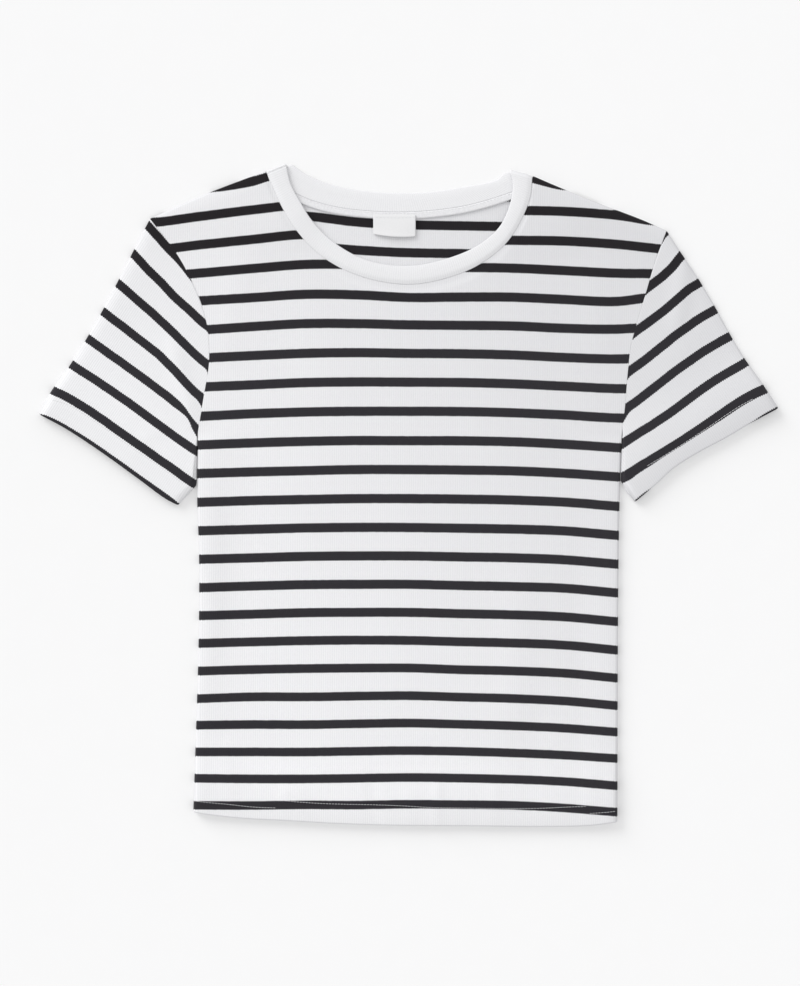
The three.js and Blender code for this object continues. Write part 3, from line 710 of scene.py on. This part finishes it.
def sleeve_course(name, point):
    """Stripe number at plan points on a sleeve; its stripes go on past both ends of the chart."""
    across, along = sleeve_places(name, point)
    rows = SLEEVE_STRIPES[name]
    rows = np.vstack([rows[:1] + SLEEVE_PITCH_PAST, rows, rows[-1:] - SLEEVE_PITCH_PAST])
    levels = across_columns(rows, (across / SLEEVE_STEP).ravel())
    course, _ = between_rows(levels, -along.ravel())
    return course.reshape(across.shape)


def sleeve_pitch(name, point):
    """Distance in plan between the stripes of a sleeve."""
    slopes = [
        (sleeve_course(name, point + way) - sleeve_course(name, point - way)) / (2 * PITCH_REACH)
        for way in np.eye(2) * PITCH_REACH
    ]
    return np.clip(1 / np.maximum(np.hypot(*slopes), TINY), PITCH_LEAST, PITCH_MOST)


# Small folds that lie over the panels' own fullness
FOLDS = table("""
x0 y0 x1 y1 height width
137 -22 141 -192 -0.5 13
-128 58 -140 -122 -0.35 14
-60 128 -78 -42 0.3 26
60 118 84 -32 0.35 24
118 148 132 18 -0.35 15
-112 188 -96 94 -0.3 14
10 18 -6 -162 0.3 30
-60 -122 -66 -242 0.3 18
104 -172 98 -268 -0.45 12
152 -192 148 -268 0.5 8
-150 -202 -146 -268 0.5 9
-92 -236 -88 -272 0.45 7
-30 -224 -28 -272 -0.6 6
24 -228 23 -272 0.65 5
44 -238 47 -272 -0.5 4
70 -232 68 -272 0.5 6
-258 118 -206 58 0.35 10
-236 148 -196 94 -0.3 9
-226 38 -196 62 0.3 7
246 148 206 94 0.35 11
262 108 214 58 -0.3 9
232 44 204 70 0.3 8
""")
LOFT = 0.7


def relief(point):
    return LOFT + crease_height(point, FOLDS)


def add_object(name, data):
    item = bpy.data.objects.new(name, data)
    bpy.context.scene.collection.objects.link(item)
    return item


def make(name, positions, faces, paint, material):
    """A piece from positions in millimetres, with values to paint by at its points."""
    mesh = bpy.data.meshes.new(name)
    mesh.from_pydata((positions * MM).tolist(), [], faces)
    for key, values in paint.items():
        layer = mesh.attributes.new(key, "FLOAT", "POINT")
        layer.data.foreach_set("value", np.asarray(values, np.float32).ravel())
    mesh.shade_smooth()
    mesh.materials.append(material)
    return add_object(name, mesh)


def outward(positions, faces):
    """Four-sided faces that all look outward."""
    a, b, c, d = (positions[faces[:, k]] for k in range(4))
    volume = np.einsum("ij,ij->", a, np.cross(b, c)) + np.einsum("ij,ij->", a, np.cross(c, d))
    return (faces if volume > 0 else faces[:, ::-1]).tolist()


def wall(name, grid, thickness, material, closed=False):
    """A closed wall about a grid of the cloth's middle."""
    rows, columns = grid.place.shape[:2]
    positions = join([
        (grid.place + grid.normal * side * thickness).reshape(-1, 3) for side in (0.5, -0.5)
    ])
    number = np.arange(2 * rows * columns).reshape(2, rows, columns)
    if closed:
        number = join([number, number[:, :, :1]], 2)
    up, down = number

    def quads(a, b, c, d):
        return np.stack([x.ravel() for x in (a, b, c, d)], 1)

    faces = [
        quads(up[:-1, :-1], up[:-1, 1:], up[1:, 1:], up[1:, :-1]),
        quads(down[:-1, :-1], down[1:, :-1], down[1:, 1:], down[:-1, 1:]),
        quads(down[0, :-1], down[0, 1:], up[0, 1:], up[0, :-1]),
        quads(up[-1, :-1], up[-1, 1:], down[-1, 1:], down[-1, :-1]),
    ]
    if not closed:
        faces.append(quads(down[:-1, 0], up[:-1, 0], up[1:, 0], down[1:, 0]))
        faces.append(quads(up[:-1, -1], down[:-1, -1], down[1:, -1], up[1:, -1]))
    paint = {key: join([values.ravel()] * 2) for key, values in grid.paint.items()}
    # Painted shade: how steeply the cloth turns down at each point, which greys its turned edges
    paint["edge_shade"] = join([1 - grid.normal[..., 2].ravel() ** 2] * 2)
    return make(name, positions, outward(positions, join(faces)), paint, material)


# Columns beside the neck and below it, and rows near the hem and above it
BODY_COUNTS = {"front": ((46, 120), (8, 190)), "back": ((28, 76), (6, 96))}
# Columns, and rows near the hem and above it
SLEEVE_COUNTS = (64, (8, 70))


def painted_body(face):
    grid = body_grid(face, *BODY_COUNTS[face])
    point = grid.place[..., :2]
    height = point[..., 1]
    shift = 0.0
    if face == "back":
        lean = np.logaddexp(0, (BACK_LEAN_FROM - point[..., 0]) / BACK_LEAN_EASE) * BACK_LEAN_EASE * BACK_LEAN
        shift = (BACK_SHIFT + lean) * smooth(BACK_SHIFT_FROM, BACK_SHIFT_TO, height)
    course, pitch = body_course(point, shift)
    width = mix(STRIPE_WIDTH_LOW, STRIPE_WIDTH, smooth(STRIPE_NARROWS_TO, STRIPE_NARROWS_FROM, height))
    grid.paint = {"course": course, "pitch": pitch, "band": width, "wale": point[..., 0]}
    return grid


def painted_sleeve(name):
    grid = sleeve_grid(name, *SLEEVE_COUNTS)
    point = grid.place[..., :2]
    across, along = sleeve_places(name, point)
    from_across, from_along, wide, long = SLEEVE_PINCH
    pinch = np.exp(-(((across - from_across) / wide) ** 2) - ((along - from_along) / long) ** 2)
    width = SLEEVE_STRIPE_WIDTH[name] * (1 - PINCHED * pinch * (name == "left"))
    wider = np.exp(-(((along - SLEEVE_WIDER_AT) / SLEEVE_WIDER_REACH) ** 2))
    width = width + SLEEVE_WIDER * wider * (name == "right")
    grid.paint = {
        "course": sleeve_course(name, point),
        "pitch": sleeve_pitch(name, point),
        "band": width,
        "wale": across,
    }
    return grid


# The neckband sinks to its seam, bulges slightly, and is rounded at its free edge; the flank's places are
# shares of the way from seam to free edge
BAND_STEP, BAND_STEP_WIDTH = 1.05, 0.28
BAND_BULGE, BAND_ROUND, BAND_ROUND_PLACES = 0.05, 0.85, 9
flank = np.array([0.0, 0.06, 0.13, 0.22, 0.35, 0.65])
BAND_COUNTS = {"front": 150, "back": 120}


def band_grid():
    """The neckband's stations round the neck, each with places round its section."""
    fold = {face: BAND_FOLD_ROOM / neck_seam[face].length for face in BAND_COUNTS}
    shares = {face: steps([fold[face], 1 - fold[face]], count) for face, count in BAND_COUNTS.items()}
    columns = mix(NECK_FROM, 1 - NECK_FROM, shares["front"])
    top = front_height(columns, np.ones_like(columns)) + (BAND_THICKNESS - CLOTH) / 2
    stations = [("front", s, h, 0.0, pi / 2) for s, h in zip(shares["front"], top)]

    def fold_over(share, middle):
        radius = (middle - BACK_BAND_HEIGHT) / 2
        return [("front", share, middle - radius, radius, pi * (0.5 - t)) for t in [*HALF, 1]]

    stations += fold_over(shares["front"][-1], top[-1])
    stations += [("back", s, BACK_BAND_HEIGHT, 0.0, -pi / 2) for s in shares["back"][1:-1][::-1]]
    stations += fold_over(shares["front"][0], top[0])[::-1]
    half = BAND_THICKNESS / 2
    inset_full = half * BAND_ROUND
    bow = np.linspace(-pi / 2, pi / 2, BAND_ROUND_PLACES)
    free_side = [(inset_full * (1 - cos(a)), -half * sin(a)) for a in bow]
    # Painted shade at the band's rounded free edge, and at its folds by how far they turn
    band_edge_shade = [0.0] * len(flank) + [cos(a) ** 2 for a in bow] + [0.0] * len(flank)
    places, wale, edge_shade = [], [], []
    run, before = 0.0, None
    for face, share, height, radius, angle in stations:
        seam, free = (c[face].at(np.array(share)) for c in (neck_seam, free_edge))
        across = unit(free - seam)
        out = np.array([-across[1], across[0]])
        out = -out if out[1] < 0 else out
        up = np.array([*(out * cos(angle)), sin(angle)])
        inward = np.array([*across, 0.0])
        start = np.array([*seam, height]) + up * radius + inward * SEAM / 2
        end = np.array([*free, height]) + up * radius
        flat_end = end - inward * inset_full
        rises = half * (1 + BAND_BULGE * np.sin(pi * flank))
        eased = rises - BAND_STEP * (1 + sin(angle)) / 2 * (1 - smooth(0, BAND_STEP_WIDTH, flank))
        ring = [mix(start, flat_end, t) + up * rise for t, rise in zip(flank, eased)]
        ring += [end - inward * inset + up * rise for inset, rise in free_side]
        ring += [mix(start, flat_end, t) - up * rise for t, rise in zip(flank[::-1], rises[::-1])]
        places.append(ring)
        middle = mix(start, end, 0.5)
        run += 0 if before is None else float(np.linalg.norm(middle - before))
        before = middle
        wale.append([run] * len(ring))
        edge_shade.append([max(cos(angle) ** 2, round_edge) for round_edge in band_edge_shade])
    return np.array(places), np.array(wale), np.array(edge_shade)


def neckband(material):
    places, wale, edge_shade = band_grid()
    count, size = wale.shape
    number = np.arange(count * size).reshape(count, size)
    following, beside = np.roll(number, -1, 0), np.roll(number, -1, 1)
    corner = np.roll(following, -1, 1)
    faces = np.stack([x.ravel() for x in (number, beside, corner, following)], 1)
    positions = places.reshape(-1, 3)
    paint = {"wale": wale.ravel(), "edge_shade": edge_shade.ravel()}
    return make("neckband_rib", positions, outward(positions, faces), paint, material)


TAPE_COUNTS = (6, 120)
TAPE_BOW = 0.12


def tape_grid():
    middle = CLOTH + GAP + TAPE_THICKNESS / 2
    shares = steps([TAPE_ENDS, 1 - TAPE_ENDS], TAPE_COUNTS[1])
    edge = neck_seam["back"].side(shares, -1)
    rows = [in_from(edge, np.full(shares.shape, d)) for d in np.linspace(SEAM, TAPE_WIDTH, TAPE_COUNTS[0])]
    heights = middle + np.sin(np.linspace(0, pi, TAPE_COUNTS[0])) * TAPE_BOW
    place = np.stack([np.column_stack([row, np.full(len(row), z)]) for row, z in zip(rows, heights)])
    return Grid(place, np.broadcast_to(UP, place.shape))


LABEL_TOP = (-29.1, 230.2)
LABEL_DROP, LABEL_BOW, LABEL_TILT = 0.7, 1.4, 2.0
LABEL_DROPS = (0.25, 0.9)
LABEL_LIFT, LABEL_LIFTS = 0.9, (0.2, 1)
LABEL_COUNTS = (24, 40)


def label_grid():
    """The blank label: sewn along its top to the tape, the rest hanging a little loose."""
    on_tape = CLOTH + 2 * GAP + TAPE_THICKNESS + LABEL_THICKNESS / 2
    down, across = np.meshgrid(*(np.linspace(0, 1, count) for count in LABEL_COUNTS), indexing="ij")
    bow = 1 - 4 * (across - 0.5) ** 2
    x = LABEL_TOP[0] + across * LABEL_WIDTH
    y = LABEL_TOP[1] - down * LABEL_LENGTH - LABEL_BOW * bow * down - LABEL_TILT * across * down
    z = mix(on_tape, on_tape - LABEL_DROP, smooth(*LABEL_DROPS, down))
    z = z + LABEL_LIFT * bow * smooth(*LABEL_LIFTS, down)
    place = np.stack([x, y, z], -1)
    return Grid(place, np.broadcast_to(UP, place.shape))


class Nodes:
    """Short calls for building a material's node tree."""

    def __init__(self, name):
        self.material = bpy.data.materials.new(name)
        self.material.use_nodes = True
        self.tree = self.material.node_tree
        self.tree.nodes.clear()

    def add(self, kind, inputs=None, **settings):
        node = self.tree.nodes.new("ShaderNode" + kind)
        for key, value in settings.items():
            setattr(node, key, value)
        for key, value in (inputs or {}).items():
            if isinstance(value, bpy.types.NodeSocket):
                self.tree.links.new(value, node.inputs[key])
            else:
                node.inputs[key].default_value = value
        return node

    def math(self, operation, *values):
        return self.add("Math", dict(enumerate(values)), operation=operation).outputs[0]

    def place(self):
        return self.add("TexCoord").outputs["Object"]

    def attribute(self, name):
        return self.add("Attribute", attribute_name=name).outputs["Fac"]

    def noise(self, scale, detail):
        inputs = {"Vector": self.place(), "Scale": scale, "Detail": detail}
        return self.add("TexNoise", inputs).outputs[0]

    def step(self, value, start, end, low=0.0, high=1.0):
        inputs = {"Value": value, "From Min": start, "From Max": end, "To Min": low, "To Max": high}
        return self.add("MapRange", inputs, interpolation_type="SMOOTHSTEP").outputs[0]

    def blend(self, share, first, second):
        # Sockets of a mix node by number: its share, and the two colours
        return self.add("Mix", {0: share, 6: first, 7: second}, data_type="RGBA").outputs[2]

    def finish(self, colour, roughness, height, depth, sheen=0.0):
        bump = self.add("Bump", {"Height": height, "Strength": 1.0, "Distance": depth})
        shader = self.add("BsdfPrincipled", {
            "Base Color": colour,
            "Roughness": roughness,
            "Sheen Weight": sheen,
            "Sheen Roughness": SHEEN_ROUGHNESS,
            "Specular IOR Level": GLOSS,
            "Normal": bump.outputs[0],
        })
        self.add("OutputMaterial", {"Surface": shader.outputs[0]})
        return self.material


def grey(level, blue=0.0):
    return (level, level, level + blue, 1)


SHEEN_ROUGHNESS, GLOSS = 0.6, 0.15
# The second of each pair of whites is greyer: it paints shade into the rib grooves, and gives the knit its
# random grain and mottle
WHITE, WHITE_RIB_SHADE_AND_GRAIN = grey(0.92, 0.01), grey(0.80, 0.015)
BAND_WHITE, BAND_WHITE_RIB_SHADE_AND_GRAIN = grey(0.865, 0.01), grey(0.785, 0.015)
BLACK, BLACK_WORN = (0.0225, 0.0210, 0.0252, 1), (0.037, 0.035, 0.041, 1)
# The black stripes are darker towards the shoulders, over this range of metres
BLACK_DARKER, BLACK_DARKER_FROM, BLACK_DARKER_TO = (0.0122, 0.0102, 0.0122, 1), 0.09, 0.24
# Painted shade: edges that turn down are painted greyer, by how steeply they turn
RIM, RIM_SHADE = 0.8, grey(0.62, 0.015)
# Painted shade: a fall of light is painted into the knit, greyer towards the right shoulder, over this range
# of metres
FALLOFF_SHARE, FALLOFF_SHADE = 0.5, grey(0.55, 0.02)
FALLOFF_FROM, FALLOFF_TO, FALLOFF_RISE = -0.30, 0.42, 0.6
# Noise scales are per metre
SWAY, SWAY_SCALE = 1.2, 9
GRAIN_SCALE, GRAIN_RANGE, WORN_RANGE, WORN = 1400, (0.35, 0.65), (0.3, 0.7), 0.35
MOTTLE_SCALE, MOTTLE_RANGE, MOTTLE = 28, (0.3, 0.7), 0.12
RIB_SHARE, GRAIN_SHARE = 0.6, 0.4
# A stripe's edge: unevenness and soft width in millimetres, and the noise that makes it
JAG_SCALE, JAG_NOISE, JAG_MIDDLE, JAG_RIB, STRIPE_SOFT = 420, 0.5, -0.5, 0.56, 0.22
KNIT_ROUGHNESS, KNIT_DEPTH, KNIT_SHEEN = 0.92, 0.00015, 0.08


def knit(name, light, rib_shade_and_grain, striped):
    """Fine rib knit: the ribs run along the cloth, the stripes across."""
    n = Nodes(name)
    sway = n.math("MULTIPLY", n.noise(SWAY_SCALE, 2), SWAY)
    turn = n.math("MULTIPLY", n.math("ADD", n.attribute("wale"), sway), 2 * pi / RIB_PITCH)
    rib = n.math("MULTIPLY_ADD", n.math("COSINE", turn), 0.5, 0.5)
    grain = n.noise(GRAIN_SCALE, 2)
    ribbed = n.math("MULTIPLY", rib, RIB_SHARE)
    grained = n.math("MULTIPLY", n.step(grain, *GRAIN_RANGE), GRAIN_SHARE)
    # Painted shade in the rib grooves, mixed with random grain
    colour = n.blend(n.math("ADD", ribbed, grained), rib_shade_and_grain, light)
    colour = n.blend(n.step(n.noise(MOTTLE_SCALE, 3), *MOTTLE_RANGE, 0.0, MOTTLE), colour, rib_shade_and_grain)
    # Painted shade on edges that turn down
    colour = n.blend(n.math("MULTIPLY", n.attribute("edge_shade"), RIM), colour, RIM_SHADE)
    if striped:
        x, y, _ = n.add("SeparateXYZ", {"Vector": n.place()}).outputs
        # Painted shade, greyer towards the right shoulder
        towards = n.math("MULTIPLY_ADD", y, FALLOFF_RISE, x)
        colour = n.blend(n.step(towards, FALLOFF_FROM, FALLOFF_TO, 0.0, FALLOFF_SHARE), colour, FALLOFF_SHADE)
        course, pitch, band = (n.attribute(key) for key in ("course", "pitch", "band"))
        off = n.math("ABSOLUTE", n.math("SUBTRACT", course, n.math("ROUND", course)))
        apart = n.math("MULTIPLY", off, pitch)
        jag = n.math("MULTIPLY_ADD", n.noise(JAG_SCALE, 1), JAG_NOISE, JAG_MIDDLE)
        jag = n.math("MULTIPLY_ADD", rib, JAG_RIB, jag)
        inside = n.math("SUBTRACT", n.math("MULTIPLY", band, 0.5), n.math("ADD", apart, jag))
        dyed = n.blend(n.step(grain, *WORN_RANGE, 0.0, WORN), BLACK, BLACK_WORN)
        # The stripes darker towards the shoulders
        dyed = n.blend(n.step(y, BLACK_DARKER_FROM, BLACK_DARKER_TO), dyed, BLACK_DARKER)
        colour = n.blend(n.step(inside, -STRIPE_SOFT, STRIPE_SOFT), colour, dyed)
    height = n.math("ADD", ribbed, n.math("MULTIPLY", grain, GRAIN_SHARE))
    return n.finish(colour, KNIT_ROUGHNESS, height, KNIT_DEPTH, KNIT_SHEEN)


def plain(name, colour, darker, roughness, scale, depth):
    """A material with a fine grain; its depth is in metres."""
    n = Nodes(name)
    grain = n.noise(scale, 3)
    return n.finish(n.blend(n.step(grain, *GRAIN_RANGE), darker, colour), roughness, grain, depth)


# A stitch's length, the gap to the next one, and its width
HEM_STITCH, SLEEVE_STITCH, TAPE_STITCH = (1.7, 0.7, 0.38), (2.5, 0.35, 0.34), (2.0, 1.0, 0.35)
STITCH_HEIGHT, STITCH_SINK, STITCH_SIDES = 0.3, 0.1, 6
# A stitch's sections: the place along it, and the share of its full thickness
STITCH_SECTIONS = ((-0.5, 0.35), (-0.3, 1.0), (0.3, 1.0), (0.5, 0.35))
ABOVE_ALL = 0.1


def line_points(points, start, spacing):
    """Even stations on a smooth line through points: place and way."""
    x, y = np.array(points, float).T
    curve = Curve({"x": x, "y": y}, "x", "y")
    shares = np.arange(start, curve.length, spacing) / curve.length
    place, left = curve.side(shares, 1)
    return place, np.stack([left[:, 1], -left[:, 0]], -1)


def top_of(pieces, x, y):
    """Height of the uppermost of some pieces at a plan point, or None."""
    found = []
    for piece in pieces:
        hit, where, _, _ = piece.ray_cast((x * MM, y * MM, ABOVE_ALL), (0, 0, -1))
        if hit:
            found.append(where.z / MM)
    return max(found) if found else None


def stitches(name, runs, on, material, size):
    """Short lengths of thread along runs of points, lying on the pieces below them."""
    length, gap, width = size
    positions, faces = [], []
    ring = [(cos(a), sin(a)) for a in np.linspace(0, 2 * pi, STITCH_SIDES, endpoint=False)]
    last = (len(STITCH_SECTIONS) - 1) * STITCH_SIDES
    for run in runs:
        place, way = line_points(run, length / 2, length + gap)
        for (x, y), (wx, wy) in zip(place, way):
            ends = [top_of(on, x + wx * length * t, y + wy * length * t) for t in (-0.5, 0.5)]
            if None in ends:
                continue
            first = len(positions)
            for share, thick in STITCH_SECTIONS:
                z = mix(ends[0], ends[1], share + 0.5) - STITCH_SINK
                for side, rise in ring:
                    positions.append((
                        x + wx * length * share - wy * side * width / 2 * thick,
                        y + wy * length * share + wx * side * width / 2 * thick,
                        z + (rise + 1) * STITCH_HEIGHT / 2 * thick,
                    ))
            for k in range(first, first + last, STITCH_SIDES):
                for j in range(STITCH_SIDES):
                    a, b = k + j, k + (j + 1) % STITCH_SIDES
                    faces.append((a, a + STITCH_SIDES, b + STITCH_SIDES, b))
            faces.append(tuple(range(first, first + STITCH_SIDES)))
            faces.append(tuple(reversed(range(first + last, first + last + STITCH_SIDES))))
    return make(name, np.array(positions), faces, {}, material)


# Runs of stitches on the front
HEM_STITCHES = (
    ((-175.5, -250.3), (-160.4, -252), (-149, -253), (-131.8, -255), (-120.3, -255.8), (-109.8, -256.1)),
    ((-101.2, -250.2), (-91.4, -251.1), (-76.4, -252.2), (-62.6, -252.8), (-28.1, -253.6), (-3, -254.5),
     (16.4, -255.7), (51.6, -256.3), (92.9, -256.6), (105.9, -256.5), (120, -255.9), (134.1, -255.2),
     (145.8, -254.9)),
    ((148.2, -260.6), (160, -259.8), (170.5, -258.6)),
)
# Runs of stitches on the sleeves, across each sleeve and along it, as its stripes
SLEEVE_STITCHES = {
    "left": ((3, -15.9), (16, -19.6), (48, -20), (80, -18.8), (112, -18.2), (131, -17)),
    "right": ((14, -18), (24, -18.8), (40, -18.9), (56, -18.5), (88, -18.5), (104, -18.9), (117, -19.5)),
}

TAPE_STITCH_INSET, TAPE_STITCH_ENDS, TAPE_STITCH_POINTS = 0.9, 0.01, 40

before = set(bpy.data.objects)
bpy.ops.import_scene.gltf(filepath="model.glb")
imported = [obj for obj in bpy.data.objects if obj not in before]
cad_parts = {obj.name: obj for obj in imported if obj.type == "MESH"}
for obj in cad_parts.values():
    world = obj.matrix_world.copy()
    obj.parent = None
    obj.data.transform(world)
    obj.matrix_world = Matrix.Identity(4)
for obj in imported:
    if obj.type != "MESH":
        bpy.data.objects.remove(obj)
scene = bpy.context.scene
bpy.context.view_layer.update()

striped = knit("striped_knit", WHITE, WHITE_RIB_SHADE_AND_GRAIN, True)
neck_rib = knit("neck_rib", BAND_WHITE, BAND_WHITE_RIB_SHADE_AND_GRAIN, False)
tape_cloth = plain("tape_twill", grey(0.83, 0.01), grey(0.76, 0.015), 0.85, 900, 0.00005)
satin = plain("label_satin", grey(0.83, 0.005), grey(0.80, 0.005), 0.5, 1500, 0.00002)
thread = plain("thread", grey(0.8, 0.01), grey(0.68, 0.02), 0.7, 3000, 0.00002)

back = wall("back_panel", painted_body("back"), CLOTH, striped)
front = wall("front_panel", painted_body("front"), CLOTH, striped)
sleeves = {}
for name in ("left", "right"):
    sleeves[name] = wall("sleeve_" + name + "_knit", painted_sleeve(name), CLOTH, striped, closed=True)
band = neckband(neck_rib)
tape = wall("neck_tape_twill", tape_grid(), TAPE_THICKNESS, tape_cloth)
label = wall("label_blank", label_grid(), LABEL_THICKNESS, satin)

sleeve_thread = {}
for name, run in SLEEVE_STITCHES.items():
    corner, across, along = sleeve_ways(name)
    points = [corner + across * place + along * level for place, level in run]
    piece_name = "sleeve_" + name + "_stitches"
    sleeve_thread[name] = stitches(piece_name, [points], [sleeves[name]], thread, SLEEVE_STITCH)
hem_thread = stitches("hem_stitches", HEM_STITCHES, [front], thread, HEM_STITCH)
tape_shares = steps([TAPE_ENDS + TAPE_STITCH_ENDS, 1 - TAPE_STITCH_ENDS - TAPE_ENDS], TAPE_STITCH_POINTS)
tape_runs = [
    in_from(neck_seam["back"].side(tape_shares, -1), np.full(TAPE_STITCH_POINTS, inset))
    for inset in (TAPE_STITCH_INSET, TAPE_WIDTH - TAPE_STITCH_INSET)
]
tape_thread = stitches("tape_stitches", tape_runs, [tape, label], thread, TAPE_STITCH)

for piece, node, slot in (
    (back, "back", "striped_knit"),
    (front, "front", "striped_knit"),
    (sleeves["left"], "sleeve_left", "striped_knit"),
    (sleeves["right"], "sleeve_right", "striped_knit"),
    (band, "neckband", "neck_rib"),
    (tape, "neck_tape", "tape"),
    (label, "label", "label_satin"),
):
    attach(piece, "root")
    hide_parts(node)
for piece in (hem_thread, tape_thread, *sleeve_thread.values()):
    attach(piece, "root")

# The floor glows slightly, so that shadows on it stay as pale as in a bright studio
FLOOR_SIZE, FLOOR_GLOW = 14.0, 0.235
bpy.ops.mesh.primitive_plane_add(size=FLOOR_SIZE, location=(0, 0, 0))
floor = bpy.context.object
floor.name = "floor"
paper = plain("paper", grey(0.70), grey(0.697), 0.95, 40, 0.0)
glow = paper.node_tree.nodes["Principled BSDF"].inputs
glow["Emission Color"].default_value = (1, 1, 1, 1)
glow["Emission Strength"].default_value = FLOOR_GLOW
floor.data.materials.append(paper)

# In metres: the camera looks straight down, and at this distance the picture covers this height
CAMERA_PLACE = (-0.00714, 0.00192, 3.004)
VIEW_DISTANCE, VIEW_HEIGHT = 3.0, 0.8085
SENSOR_SIZE = 36
camera_data = bpy.data.cameras.new("camera")
camera_data.sensor_width = SENSOR_SIZE
camera_data.lens = SENSOR_SIZE * VIEW_DISTANCE / VIEW_HEIGHT
camera = add_object("camera", camera_data)
camera.location = CAMERA_PLACE
scene.camera = camera

# A wide low key from the upper left, in soft even light from all sides
KEY_ENERGY, KEY_WAY, KEY_ANGLE = 1.8, (0.64, -0.64, -0.4), 36
ROOM_LIGHT, ROOM_COLOUR = 0.79, (1, 1, 1.005, 1)
sun = bpy.data.lights.new("key", "SUN")
sun.energy = KEY_ENERGY
sun.angle = radians(KEY_ANGLE)
lamp = add_object("key", sun)
lamp.rotation_mode = "QUATERNION"
lamp.rotation_quaternion = Vector(KEY_WAY).to_track_quat("-Z", "Y")
world = bpy.data.worlds.new("studio")
world.use_nodes = True
room = world.node_tree.nodes["Background"].inputs
room[0].default_value = ROOM_COLOUR
room[1].default_value = ROOM_LIGHT
scene.world = world
view = scene.view_settings
view.view_transform = "Standard"
view.look = "None"
view.exposure = 0
view.gamma = 1
